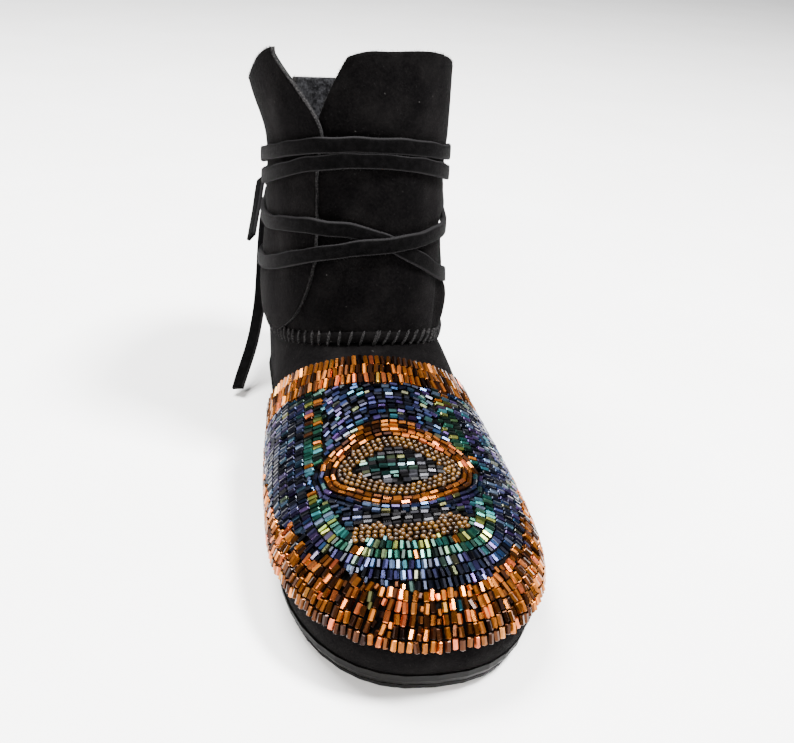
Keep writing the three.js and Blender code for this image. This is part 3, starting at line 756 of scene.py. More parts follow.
def thong_press(azimuth: float, share: float) -> float:
    """Depth to which the thong's turns press the suede at a place."""
    depth = 0.0
    first, last = THONG_ROUTE.keys[0], THONG_ROUTE.keys[-1]
    turn = (azimuth - first) % 360 + first
    while turn < last:
        if abs(THONG_ROUTE.at("layer", turn)) < 0.5:
            gap = (share - THONG_ROUTE.at("share", turn)) / 0.034
            depth += math.exp(-gap * gap)
        turn += 360
    return 0.9 * min(1.0, depth)


def soft_shaft(azimuth: float, share: float) -> float:
    """Height of all folds of the shaft at a place, in millimetres."""
    folds = sum(crease.height(azimuth, share) for crease in SHAFT_CREASES)
    ripple = 0.35 * math.sin(math.radians(azimuth * 7) + share * 9) * share
    return folds + ripple - thong_press(azimuth, share)


# Upper


@dataclass
class Upper:
    """The suede foot, the wrapped shaft, its flap and its lining."""

    wall: float = 2.2
    flare: float = 8.0
    foot_columns: int = 220
    foot_rows: int = 56
    panel_columns: int = 150
    sewn_from: float = -118.0
    sewn_to: float = -106.0
    panel_rows: int = 84
    panel_root: float = 214.0
    panel_edge: Table = Table(
        ("share", "azimuth"),
        (0.0, -112.0), (0.5, -96.0), (0.62, -50.0), (0.7, -38.0), (0.8, -38.5), (0.88, -34.0),
        (0.95, -26.0), (1.0, -19.0),
    )
    panel_top: Table = Table(
        ("azimuth", "share"),
        (-34.0, 0.955), (-20.0, 1.0), (-8.0, 1.02), (3.0, 1.022), (14.0, 1.026), (28.0, 1.03), (44.0, 1.02),
        (75.0, 0.99), (120.0, 1.0), (180.0, 0.995), (214.0, 0.99),
    )
    flap_edge: Table = Table(
        ("share", "azimuth"),
        (-0.08, -84.0), (0.0, -66.0), (0.07, -51.0), (0.18, -41.0), (0.31, -36.0), (0.5, -36.5),
        (0.63, -37.0), (0.735, -33.0), (0.88, -43.0), (1.0, -55.0),
    )
    flap_top: Table = Table(
        ("azimuth", "share"),
        (-152.0, 0.985), (-128.0, 0.95), (-104.0, 0.945), (-82.0, 0.975), (-64.0, 1.03), (-54.0, 1.05),
    )

    def foot_form(self, u: float, v: float) -> Vector:
        """The foot's skin."""
        return LAST.foot_skin(2 * u - 1, v)

    def cut_away(self, face: bmesh.types.BMFace) -> bool:
        """Whether a face of the foot lies inside the shaft."""
        point = (face.calc_center_median() - ORIGIN) / MM
        return LAST.in_shaft(point) < 0.86 and point.z > 40

    def build_foot(self) -> bmesh.types.BMesh:
        """The foot's skin, open under the shaft and at the feather edge."""
        bm = sheet(self.foot_columns, self.foot_rows, self.foot_form)
        bmesh.ops.remove_doubles(bm, verts=bm.verts, dist=0.00002)
        bmesh.ops.delete(bm, geom=[face for face in bm.faces if self.cut_away(face)], context="FACES")
        bmesh.ops.recalc_face_normals(bm, faces=bm.faces)
        face_outwards(bm, lambda face: face.normal.dot(face.calc_center_median() - Vector((0, 0, 0.02))) > 0)
        return bm

    def panel_form(self, u: float, v: float) -> Vector:
        """The shaft's skin from the front panel's edge round the heel to the flap's root."""
        azimuth = lerp(self.panel_edge.at("azimuth", v), self.panel_root, u)
        bottom = LAST.seam_share(azimuth, 1.5)
        share = lerp(bottom, self.panel_top.at("share", azimuth), v)
        return LAST.shaft_point(azimuth, share, soft_shaft(azimuth, share))

    def flap_lift(self, azimuth: float, share: float) -> float:
        """How far the flap stands off the shaft's skin."""
        high = smoothstep(share, 0.7, 1.05)
        forward = smoothstep(azimuth, FLAP_ROOT, -80)
        leave = smoothstep(azimuth, FLAP_ROOT, FLAP_ROOT + 14)
        return leave * (FIT + FLAP_THICKNESS) + self.flare * high * forward

    def flap_form(self, u: float, v: float) -> Vector:
        """The flap's outer face."""
        azimuth = lerp(FLAP_ROOT + 3, self.flap_edge.at("azimuth", v * 1.02), u)
        sewn = 1 - smoothstep(azimuth, self.sewn_from, self.sewn_to)
        bottom = LAST.seam_share(azimuth, 0.5 + 0.6 * sewn) + 0.012 * (1 - sewn)
        share = lerp(bottom, self.flap_top.at("share", azimuth), v)
        wave = 0.5 * math.sin(share * 14 + u * 3) * u
        stand = 1 - sewn * (1 - smoothstep(v, 0.0, 0.12))
        lift = self.flap_lift(azimuth, share) * stand + soft_shaft(azimuth, share) * 0.8 + wave
        return LAST.shaft_point(azimuth, share, lift)

    def build(self) -> None:
        """Make and dress the upper's pieces."""
        foot = as_object("upper_foot", self.build_foot(), SUEDE, RAW_EDGE, FLEECE)
        thicken(foot, self.wall, 1, 2)
        panel = sheet(self.panel_columns, self.panel_rows, self.panel_form)
        middle = Vector((0, 0.058, 0.1))
        face_outwards(panel, lambda face: face.normal.dot(face.calc_center_median() - middle) > 0)
        shaft = as_object("upper_shaft", panel, SUEDE, RAW_EDGE, FLEECE)
        thicken(shaft, self.wall, 1, 2)
        sheet_bm = sheet(self.panel_columns // 2, self.panel_rows, self.flap_form)
        face_outwards(sheet_bm, lambda face: face.normal.dot(face.calc_center_median() - middle) > 0)
        flap = as_object("front_flap", sheet_bm, SUEDE, RAW_EDGE, FLEECE)
        thicken(flap, FLAP_THICKNESS, 1, 1)
        stand_in("upper")
        stand_in("upper")
        stand_in("wrap_flap")


@dataclass
class AnkleSeam:
    """The rolled seam and its whip stitches between foot and shaft."""

    roll: float = 1.5
    pitch: float = 3.9
    stitch_length: float = 7.2
    stitch_width: float = 1.15
    slant: float = 0.35
    stitch_outset: float = 1.3
    welt: float = 7.0
    most_push: float = 6.0
    foot: "Skin" = field(default_factory=lambda: Skin())

    def seam_point(self, azimuth: float, outset: float) -> Vector:
        """Point of the seam line at an azimuth, kept out of the foot's skin round the heel."""
        point = LAST.shaft_point(azimuth, LAST.seam_share(azimuth), outset)
        out = LAST.shaft_normal(azimuth, LAST.seam_share(azimuth))
        out = Vector((out.x, out.y, 0)).normalized()
        sunk = (self.foot.beside(point, out) - point).dot(out) + outset
        behind = smoothstep(abs((azimuth + 180) % 360 - 180), 60, 100)
        return point + out * (min(self.most_push, max(0.0, sunk)) * behind)

    def roll_form(self, u: float, v: float) -> Vector:
        """The rolled edge: a low bead of leather along the seam."""
        azimuth, turn = 360 * u, 2 * math.pi * v
        out = LAST.shaft_normal(azimuth, LAST.seam_share(azimuth))
        down = Vector((0, 0, -1))
        middle = self.seam_point(azimuth, 0.4)
        return middle + out * math.cos(turn) * self.roll * 0.8 + down * math.sin(turn) * self.roll * 1.5

    def welt_form(self, u: float, v: float) -> Vector:
        """The ledge inside the seam that closes the shaft's wall on to the foot."""
        azimuth = 360 * u
        return LAST.shaft_point(azimuth, LAST.seam_share(azimuth), lerp(0.2, -self.welt, v))

    def build(self) -> None:
        """Make the roll, its ledge inside and its stitches."""
        bm = sheet(180, 10, self.roll_form)
        bmesh.ops.remove_doubles(bm, verts=bm.verts, dist=0.00001)
        bmesh.ops.recalc_face_normals(bm, faces=bm.faces)
        roll = as_object("ankle_seam_roll", bm, SUEDE)
        stand_in("ankle_seam")
        ring = sheet(180, 2, self.welt_form)
        bmesh.ops.remove_doubles(ring, verts=ring.verts, dist=0.00001)
        face_outwards(ring, lambda face: face.normal.z > 0)
        welt = as_object("inner_welt", ring, FLEECE)
        thicken(welt, 1.2)
        stand_in("upper")
        stitches = bmesh.new()
        azimuth = 0.0
        rng = random.Random(11)
        while azimuth < 360:
            here = self.seam_point(azimuth, self.stitch_outset)
            ahead = self.seam_point(azimuth + 0.5, self.stitch_outset)
            along = (ahead - here).normalized()
            out = LAST.shaft_normal(azimuth, LAST.seam_share(azimuth))
            up = out.cross(along).normalized()
            axis = (up + along * (self.slant + rng.uniform(-0.08, 0.08))).normalized()
            side = axis.cross(out).normalized()
            turn = Matrix((side, axis, side.cross(axis))).transposed()
            size = Matrix.Diagonal((self.stitch_width / 2, self.stitch_length / 2, 0.85, 1))
            move = Matrix.Translation(place(here)) @ Matrix.Scale(MM, 4) @ turn.to_4x4() @ size
            bmesh.ops.create_uvsphere(stitches, u_segments=8, v_segments=6, radius=1, matrix=move)
            step = (self.seam_point(azimuth + 1, 0) - self.seam_point(azimuth, 0)).length
            azimuth += self.pitch / step * rng.uniform(0.88, 1.12)
        sewn = as_object("whip_stitches", stitches, RAW_EDGE)
        stand_in("ankle_seam")


# Beadwork


@dataclass(frozen=True)
class BeadKind:
    """Size of one kind of bead, in millimetres, with its shape's facets."""

    length: float
    width: float
    sides: int
    round: bool


CUFF_BUGLE = BeadKind(5.0, 1.7, 6, False)
BORDER_BUGLE = BeadKind(3.35, 1.85, 6, False)
BUGLE = BeadKind(3.2, 1.7, 6, False)
SHORT = BeadKind(2.9, 1.65, 6, False)
FILLER = BeadKind(2.0, 1.55, 6, False)
SEED = BeadKind(1.5, 1.85, 8, True)


class Skin:
    """The foot's outer skin, for finding places and normals."""

    def __init__(self) -> None:
        """Build the search tree."""
        bm = sheet(150, 44, lambda u, v: LAST.foot_skin(2 * u - 1, v))
        bmesh.ops.remove_doubles(bm, verts=bm.verts, dist=0.00002)
        bmesh.ops.recalc_face_normals(bm, faces=bm.faces)
        face_outwards(bm, lambda face: face.normal.dot(face.calc_center_median() - Vector((0, 0, 0.02))) > 0)
        self.tree = BVHTree.FromBMesh(bm)
        bm.free()

    def nearest(self, point: Vector) -> tuple[Vector, Vector]:
        """Nearest skin point and its normal, in millimetres on the boot."""
        found, normal, _, _ = self.tree.find_nearest(place(point))
        return (found - ORIGIN) / MM, normal

    def above(self, x: float, from_toe: float) -> Vector:
        """Skin point under a place of the plan."""
        start = place(Vector((x, from_toe - LAST.length / 2, 100)))
        found, _, _, _ = self.tree.ray_cast(start, Vector((0, 0, -1)))
        return (found - ORIGIN) / MM if found else self.nearest(Vector((x, from_toe - 126, 30)))[0]

    def beside(self, point: Vector, out: Vector) -> Vector:
        """Skin point that lies outwards of a point at its height, or the point where there is none."""
        found, _, _, _ = self.tree.ray_cast(place(point + out * 20), -out, 0.03)
        return (found - ORIGIN) / MM if found else point - out * 20

    def march(self, point: Vector, heading: Vector, distance: float) -> tuple[Vector, Vector]:
        """Walk over the skin.

        Args:
            point: where the walk starts.
            heading: its first direction.
            distance: how far it goes.

        Returns:
            The end and the direction there.
        """
        steps = max(1, math.ceil(distance / 1.1))
        for _ in range(steps):
            here, normal = self.nearest(point)
            heading = (heading - normal * heading.dot(normal)).normalized()
            point = here + heading * (distance / steps)
        here, normal = self.nearest(point)
        return here, (heading - normal * heading.dot(normal)).normalized()


def resample(points: Sequence[Vector], pitch: float, closed: bool = False) -> list[tuple[Vector, Vector]]:
    """Places at an even pitch along a run of points, each with the direction along the run."""
    line = list(points) + ([points[0]] if closed else [])
    total = sum((b - a).length for a, b in zip(line, line[1:]))
    count = max(1, round(total / pitch))
    gap, walked, target, found = total / count, 0.0, total / count / 2, []
    for a, b in zip(line, line[1:]):
        length = (b - a).length
        while length > 0 and target <= walked + length + 1e-6 and len(found) < count:
            found.append((a.lerp(b, (target - walked) / length), (b - a).normalized()))
            target += gap
        walked += length
    return found


@dataclass
class Beadwork:
    """All beads, sewn in lanes over the foot's skin."""

    skin: Skin = field(default_factory=Skin)
    rng: random.Random = field(default_factory=lambda: random.Random(7))
    sewn: dict = field(default_factory=dict)
    taken: dict = field(default_factory=dict)
    cell: float = 2.0
    seed_lane: float = 1.62
    seed_pitch: float = 2.05
    green_to_cuff: float = 14.5
    blue_to_cuff: float = 12.5
    field_to_cuff: float = 13.6
    under_border: float = -3.5
    u_middle: float = -3.2
    u_half: float = 22.4
    u_bend: float = 40.0
    u_depth: float = 16.0
    u_end: float = 24.5
    lens_top: float = 35.2
    lens_swell: float = 4.6
    seeds_top: float = 30.0
    seeds_bow: float = 0.012
    infill_grid: tuple[int, int] = (420, 70)
    strand: Table = Table(
        ("from_toe", "inner", "outer"),
        (0.0, 5.1, 5.1), (12.0, 5.0, 5.0), (24.0, 4.5, 4.6), (40.0, 3.8, 4.1), (65.0, 3.0, 4.1),
        (95.0, 2.9, 4.4), (140.0, 3.0, 4.4),
    )
    border_top: Table = Table(
        ("from_toe", "inner", "outer"),
        (0.0, 33.0, 32.5), (20.0, 31.0, 30.0), (40.0, 30.0, 29.5), (65.0, 27.5, 31.0), (90.0, 25.0, 31.0),
        (130.0, 25.0, 29.0), (252.0, 26.0, 26.0),
    )
    border_bottom: Table = Table(
        ("from_toe", "inner", "outer"),
        (0.0, 19.4, 19.4), (30.0, 18.6, 18.6), (60.0, 16.0, 17.0), (100.0, 13.0, 14.5), (252.0, 13.0, 13.0),
    )
    cuff_line: Table = Table(
        ("x", "from_toe"),
        (-44.0, 136.0), (-38.0, 131.0), (-33.0, 125.0), (-20.0, 117.5), (-7.0, 114.0), (6.0, 112.5),
        (16.0, 112.5), (28.0, 116.0), (36.0, 121.0), (44.0, 126.0),
    )
    u_inner: tuple[tuple[float, float], ...] = (
        (-21.0, 106.0), (-22.5, 92.0), (-24.5, 78.0), (-25.6, 66.0), (-25.9, 52.0), (-25.0, 42.0),
        (-21.5, 33.5), (-14.5, 27.5), (-4.5, 24.6), (6.0, 25.6), (13.0, 28.8), (17.0, 34.5),
        (19.0, 44.0), (19.6, 54.0), (19.0, 64.0), (17.4, 76.0), (16.3, 90.0), (16.0, 106.0),
    )
    core: tuple[tuple[float, float], ...] = (
        (-17.6, 59.4), (-12.5, 63.6), (-8.0, 66.2), (-3.5, 67.2), (2.0, 65.8), (7.5, 62.0), (13.2, 57.2),
        (7.5, 53.2), (2.0, 51.0), (-4.0, 50.0), (-9.0, 51.6), (-13.5, 55.0),
    )

    def smooth_run(self, chart: Sequence[tuple[float, float]], closed: bool = False) -> list[Vector]:
        """Skin points along a smooth curve through plan points."""
        count, found = len(chart), []
        spans = count if closed else count - 1
        for i in range(spans):
            picks = [i - 1, i, i + 1, i + 2]
            picks = [k % count for k in picks] if closed else [min(count - 1, max(0, k)) for k in picks]
            p0, p1, p2, p3 = (Vector(chart[k]) for k in picks)
            for k in range(6):
                curve = spline(p0, p1, p2, p3, k / 6)
                found.append(self.skin.above(curve.x, curve.y))
        return found

    def free(self, points: Iterable[Vector], room: float) -> bool:
        """Whether no sewn bead lies nearer than room to the points."""
        for point in points:
            x, y, z = (int(c // self.cell) for c in point)
            for i in (x - 1, x, x + 1):
                for j in (y - 1, y, y + 1):
                    for k in (z - 1, z, z + 1):
                        if any((point - q[0]).length < room for q in self.taken.get((i, j, k), ())):
                            return False
        return True

    def sew(self, family: Family, kind: BeadKind, point: Vector, axis: Vector, room: float = 1.45) -> bool:
        """Sew one bead on the skin.

        Args:
            family: its colour family.
            kind: its size.
            point: where it lies.
            axis: the direction of its hole.
            room: the least distance to beads that are there already.

        Returns:
            Whether there was room for it.
        """
        here, normal = self.skin.nearest(point)
        axis = (axis - normal * axis.dot(normal)).normalized()
        jitter = self.rng.uniform(-0.11, 0.11)
        axis = (axis + normal.cross(axis) * jitter + normal * self.rng.uniform(-0.05, 0.05)).normalized()
        reach = (kind.length - kind.width) / 2
        spots = [here] if kind.round else [here - axis * reach, here, here + axis * reach]
        if not self.free(spots, room):
            return False
        for spot in spots:
            key = tuple(int(c // self.cell) for c in spot)
            self.taken.setdefault(key, []).append((spot, axis, family))
        centre = here + normal * (FIT + kind.width / 2 + self.rng.uniform(0, 0.18))
        side = axis.cross(normal).normalized()
        roll = self.rng.uniform(0, math.pi / 3)
        turn = Matrix((side, side.cross(axis), axis)).transposed() @ Matrix.Rotation(roll, 3, "Z")
        stretch = self.rng.uniform(0.88, 1.07)
        size = Matrix.Diagonal((1, 1, stretch, 1))
        move = Matrix.Translation(place(centre)) @ Matrix.Scale(MM, 4) @ turn.to_4x4() @ size
        self.sewn.setdefault((family, kind), []).append(move)
        return True

    def lane(
        self,
        base: Sequence[tuple[Vector, Vector]],
        distance: float,
        kind: BeadKind,
        choose: Callable[[Vector], Family | None],
        across: bool = True,
        pitch: float = 0.0,
        closed: bool = False,
        room: float = 1.45,
    ) -> None:
        """Sew one lane beside a base line.

        Args:
            base: points of the base line with the headings that lanes move off in.
            distance: how far this lane lies from the base.
            kind: the beads' size.
            choose: gives the family for a place, or None to leave it bare.
            across: beads lie across the lane rather than along it.
            pitch: spacing along the lane; 0 takes the bead's own.
            closed: the lane runs all round.
            room: least distance to other beads.
        """
        line = [self.skin.march(point, heading, distance)[0] for point, heading in base]
        pitch = pitch or (kind.width + 0.2 if across else kind.length + 0.15)
        for spot, along in resample(line, pitch, closed):
            family = choose(spot)
            if family is None:
                continue
            here, normal = self.skin.nearest(spot)
            heading = along.cross(normal).normalized() if across else along
            self.sew(family, kind, here, heading, room)

    def based(self, points: Sequence[Vector], flip: int, closed: bool = False) -> list[tuple[Vector, Vector]]:
        """Give each point of a run its heading across the run."""
        found = []
        last = len(points) - 1
        for i, point in enumerate(points):
            low = points[i - 1] if i or closed else points[0]
            high = points[(i + 1) % len(points)] if closed or i < last else points[last]
            here, normal = self.skin.nearest(point)
            found.append((here, (high - low).normalized().cross(normal) * flip))
        return found

    def low_edge(self, spot: Vector) -> float:
        """Height of the border's lower edge beside a place."""
        return self.border_bottom.at(side_of(spot), toe_distance(spot))

    def before_cuff(self, spot: Vector, margin: float = 0.0) -> bool:
        """Whether a place lies on the toe's side of the cuff's front edge."""
        return toe_distance(spot) < self.cuff_line.at("from_toe", spot.x) - margin

    def clear(self, spot: Vector, margin: float) -> bool:
        """Whether a place lies above the border and a margin ahead of the cuff."""
        border = self.border_top.at(side_of(spot), toe_distance(spot)) + self.under_border
        return self.before_cuff(spot, margin) and spot.z > border

    def diamond(self) -> None:
        """The diamond: dark core, amber seeds and copper arcs."""
        outline = self.smooth_run(self.core, closed=True)
        base = self.based(outline, -1, closed=True)
        centre = sum(outline, Vector()) / len(outline)
        if (base[0][1]).dot(outline[0] - centre) < 0:
            base = self.based(outline, 1, closed=True)
        for k in range(3):
            self.lane(base, 0.9 + self.seed_lane * k, SEED, lambda _: Family.AMBER, pitch=self.seed_pitch,
                      closed=True, room=1.3)
        for k in range(4):
            reach = 6.4 + 2.05 * k

            def ring(spot: Vector, k: int = k) -> Family | None:
                """Family of ring k at a place."""
                from_toe = toe_distance(spot)
                upper = from_toe > 60 - spot.x * 0.15
                if upper:
                    return Family.COPPER if k < 3 or abs(spot.x + 3) < 9 else None
                return Family.COPPER if k < 2 else Family.IRIS if from_toe > 38 else None

            self.lane(base, reach, SHORT, ring, across=False, closed=True, room=1.35)
        for row in range(14):
            from_toe = 68.0 - row * 1.75
            run = [self.skin.above(-24.0 + 2.5 * i, from_toe) for i in range(18)]
            for spot, along in resample(run, SHORT.length + 0.2):
                if self.inside_core(spot):
                    near = Vector((spot.x + 6, (toe_distance(spot) - 59.5) * 1.6)).length < 9
                    picked = Family.TEAL if near and self.rng.random() < 0.75 else Family.CHARCOAL
                    self.sew(picked, SHORT, spot + along * self.rng.uniform(-0.4, 0.4), along, 1.3)

    def inside_core(self, spot: Vector) -> bool:
        """Whether a place lies inside the diamond's core."""
        x, y, hit = spot.x, toe_distance(spot), False
        for (ax, ay), (bx, by) in zip(self.core, self.core[1:] + self.core[:1]):
            if (ay > y) != (by > y) and x < (bx - ax) * (y - ay) / (by - ay) + ax:
                hit = not hit
        return hit

    def u_bands(self) -> None:
        """The green U, and the blue lanes that follow it outwards to the border."""
        inner = self.smooth_run(self.u_inner)
        base = self.based(inner, 1)
        middle = base[len(base) // 2]
        if middle[1].y > 0:
            base = self.based(inner, -1)
        pitch = BUGLE.length + 0.22

        def green(spot: Vector) -> Family | None:
            """Family of the green band at a place."""
            if not self.clear(spot, self.green_to_cuff):
                return None
            return Family.GREEN if self.rng.random() < 0.94 else Family.COPPER

        def blue(spot: Vector) -> Family | None:
            """Family of the blue lanes at a place, with painted shade towards the inner side."""
            if not self.clear(spot, self.blue_to_cuff):
                return None
            # Painted shade: the blue lanes take more dark beads towards the inner side, which faces away from
            # the window light.
            shade = smoothstep(-spot.x, 26, 38)
            return Family.DARK_AND_SHADED if self.rng.random() < 0.12 + 0.8 * shade else Family.IRIS

        for k in range(2):
            self.lane(base, pitch * (k + 0.5), BUGLE, green)
        for k in range(2, 10):
            self.lane(base, pitch * (k + 0.5), BUGLE, blue)

    def skin_at(self, rise: float, side: int, wanted: Callable[[Vector], float]) -> Vector:
        """Skin point of one side at a rise, as far back as the wanted distance from the toe."""

        def ahead(around: float) -> bool:
            """Whether the place lies on the toe's side of the wanted distance."""
            point = LAST.foot_skin(side * around, rise)
            return toe_distance(point) < wanted(point)

        return LAST.foot_skin(side * bisect(0.05, 0.95, ahead), rise)

    def cuff_from_toe(self, point: Vector) -> float:
        """Distance from the toe of the cuff's back edge beside a point."""
        return self.cuff_line.at("from_toe", point.x)

    def border(self) -> None:
        """The copper border: short strands that stand on its lower edge."""

        def edge(around: float) -> Vector:
            """Point of the lower edge beside a place of the outline."""

            def under(rise: float) -> bool:
                """Whether a rise is still below the edge."""
                point = LAST.foot_skin(around, rise)
                return point.z < self.low_edge(point)

            return LAST.foot_skin(around, bisect(0.0, 0.6, under, 16))

        run = [edge(-0.56 + 1.12 * i / 299) for i in range(300)]
        base = self.based(run, 1)
        if base[0][1].z < 0:
            base = self.based(run, -1)
        line = [point for point, _ in base]
        pitch = BORDER_BUGLE.length + 0.08
        for spot, along in resample(line, 2.2):
            if not self.before_cuff(spot, 1.0):
                continue
            point, normal = self.skin.nearest(spot)
            heading = along.cross(normal)
            heading = (heading if heading.z > 0 else -heading).normalized()
            heading = (heading + along * self.rng.uniform(-0.1, 0.1)).normalized()
            count = self.strand.at(side_of(point), toe_distance(point)) + self.rng.uniform(-0.12, 0.12)
            point, heading = self.skin.march(point, heading, pitch * self.rng.uniform(0.4, 0.65))
            for _ in range(round(count)):
                bend = heading.cross(self.skin.nearest(point)[1]) * self.rng.uniform(-0.07, 0.07)
                self.sew(Family.COPPER, BORDER_BUGLE, point, heading + bend, 1.32)
                point, heading = self.skin.march(point, (heading + bend).normalized(), pitch)

    def cuff(self) -> None:
        """The copper cuff over the instep, down to the lower edge on both sides."""
        rises = [0.2 + 0.77 * i / 40 for i in range(41)]
        run = [self.skin_at(rise, -1, self.cuff_from_toe) for rise in rises]
        run += [self.skin_at(rise, 1, self.cuff_from_toe) for rise in reversed(rises)]
        run = [point for point in run if point.z > self.low_edge(point)]
        base = self.based(run, 1)
        if base[len(base) // 2][1].y > 0:
            base = self.based(run, -1)
        for k in range(3):
            reach = (CUFF_BUGLE.length - 0.05) * (k + 0.45)
            self.lane(base, reach, CUFF_BUGLE, lambda _: Family.COPPER, pitch=self.seed_pitch, room=1.3)

    def inside_u(self, spot: Vector) -> bool:
        """Whether a place lies between the legs of the U."""
        from_toe = toe_distance(spot)
        bend = max(0.0, self.u_bend - from_toe) / self.u_depth
        half = self.u_half * math.sqrt(max(0.0, 1 - bend**2))
        return abs(spot.x - self.u_middle) < half and from_toe > self.u_end

    def field(self) -> None:
        """Rows across the vamp inside the U: blue above, lens and seeds below."""
        for row in range(48):
            from_toe = 104.0 - row * 1.98
            arch = 9.0 * smoothstep(from_toe, 58, 80) * (1 - smoothstep(from_toe, 84, 104))
            dip = -4.5 * smoothstep(52 - from_toe, 0, 12) * (1 - smoothstep(36 - from_toe, 0, 12))
            run = []
            for i in range(22):
                x = -26.0 + 2.2 * i
                bow = (arch + dip) * (1 - ((x + 3) / 22) ** 2)
                run.append(self.skin.above(x, from_toe + bow))
            for spot, along in resample(run, SHORT.length + 0.2):
                if not self.inside_u(spot) or not self.before_cuff(spot, self.field_to_cuff):
                    continue
                picked = self.field_family(spot)
                if picked is None:
                    continue
                self.sew(picked, SHORT, spot + along * self.rng.uniform(-0.5, 0.5), along, 1.38)

    def field_family(self, spot: Vector) -> Family | None:
        """Colour family of the field at a place."""
        x, from_toe = spot.x + 3.0, toe_distance(spot)
        if from_toe > 52:
            picked = self.rng.random()
            return Family.IRIS if picked < 0.82 else Family.DARK_AND_SHADED if picked < 0.97 else Family.TEAL
        lens = self.lens_top + self.lens_swell * math.sqrt(max(0.0, 1 - (x / 21) ** 2))
        seeds = self.seeds_top + self.seeds_bow * x * x
        if from_toe > lens:
            return Family.IRIS
        if from_toe > seeds:
            return Family.CHARCOAL
        return None

    def seed_band(self) -> None:
        """The amber seed band under the lens."""
        run = [self.skin.above(-21.0 + 1.5 * i, 30.6 + 0.012 * (-18.0 + 1.5 * i) ** 2) for i in range(24)]
        base = self.based(run, 1)
        if base[12][1].y > 0:
            base = self.based(run, -1)

        def amber(spot: Vector) -> Family | None:
            """Amber between the legs of the U."""
            return Family.AMBER if self.inside_u(spot) else None

        for k in range(3):
            self.lane(base, self.seed_lane * k, SEED, amber, pitch=self.seed_pitch, room=1.3)

    def nearest_sewn(self, point: Vector, reach: float) -> tuple[Vector, Vector, Family] | None:
        """The nearest sewn bead's place, axis and family, where one lies within reach."""
        x, y, z = (int(c // self.cell) for c in point)
        best, found = reach, None
        for i in (x - 1, x, x + 1):
            for j in (y - 1, y, y + 1):
                for k in (z - 1, z, z + 1):
                    for item in self.taken.get((i, j, k), ()):
                        gap = (item[0] - point).length
                        if gap < best:
                            best, found = gap, item
        return found

    def infill(self) -> None:
        """Close bare spots with short beads that follow their neighbours."""
        spots = []
        columns, rows = self.infill_grid
        for i in range(columns):
            for j in range(rows):
                around = -1 + 2 * (i + self.rng.random()) / columns
                rise = 0.12 + 0.86 * (j + self.rng.random()) / rows
                spots.append(LAST.foot_skin(around, rise))
        self.rng.shuffle(spots)
        for spot in spots:
            if spot.z < self.low_edge(spot) + 1.0 or not self.before_cuff(spot, 1.0):
                continue
            near = self.nearest_sewn(spot, 2.6)
            if near:
                kind = SEED if near[2] is Family.AMBER else FILLER
                room = 1.42 if near[2] is Family.COPPER else 1.25
                self.sew(near[2], kind, spot, near[1], room)

    def template(self, kind: BeadKind) -> bpy.types.Mesh:
        """One bead of a kind, in millimetres, along Z."""
        bm = bmesh.new()
        if kind.round:
            bmesh.ops.create_uvsphere(bm, u_segments=kind.sides, v_segments=6, radius=kind.width / 2)
            bmesh.ops.scale(bm, vec=(1, 1, kind.length / kind.width), verts=bm.verts)
        else:
            bmesh.ops.create_cone(bm, cap_ends=True, segments=kind.sides, radius1=kind.width / 2,
                                  radius2=kind.width / 2, depth=kind.length)
            caps = [face for face in bm.faces if abs(face.normal.z) > 0.9]
            rims = list({edge for face in caps for edge in face.edges})
            bmesh.ops.bevel(bm, geom=rims, offset=0.2, segments=1, profile=0.5, affect="EDGES", material=-1)
            caps = [face for face in bm.faces if abs(face.normal.z) > 0.99]
            bmesh.ops.inset_individual(bm, faces=caps, thickness=0.3, depth=-0.25)
            for face in bm.faces:
                # Painted shade: the small sunk faces at the ends, where the hole is, take the second slot's
                # dark rubber.
                face.material_index = 1 if abs(face.normal.z) > 0.99 and face.calc_area() < 0.8 else 0
        for face in bm.faces:
            face.smooth = kind.round
        mesh = bpy.data.meshes.new("bead")
        bm.to_mesh(mesh)
        bm.free()
        return mesh

    def join(self, family: Family) -> bpy.types.Object:
        """Join the beads of one family into one mesh with a shade for each bead."""
        bm = bmesh.new()
        shades: list[float] = []
        lustres: list[float] = []
        for (owner, kind), moves in self.sewn.items():
            if owner is not family:
                continue
            bead = self.template(kind)
            stamp(bm, bead, moves)
            for _ in moves:
                shades += [self.rng.random()] * len(bead.vertices)
                lustres += [self.rng.random()] * len(bead.vertices)
        mesh = bpy.data.meshes.new(family.value.name)
        bm.to_mesh(mesh)
        bm.free()
        for label, values in (("shade", shades), ("lustre", lustres)):
            mesh.attributes.new(label, "FLOAT", "POINT").data.foreach_set("value", values)
        mesh.materials.append(material_of(family.value))
        # Second slot: dark rubber as painted shade in the bead holes.
        mesh.materials.append(material_of(TREAD_RUBBER_AND_HOLE_SHADE))
        made = bpy.data.objects.new(family.value.name, mesh)
        bpy.context.scene.collection.objects.link(made)
        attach(made, ROOT)
        stand_in("bead_panel")
        LOG.info("%s: %d faces", made.name, len(mesh.polygons))
        return made

    def build(self) -> None:
        """Sew all the beads and join them by family."""
        self.diamond()
        self.border()
        self.cuff()
        self.seed_band()
        self.u_bands()
        self.field()
        self.infill()
        for family in Family:
            self.join(family)


# Thong pieces


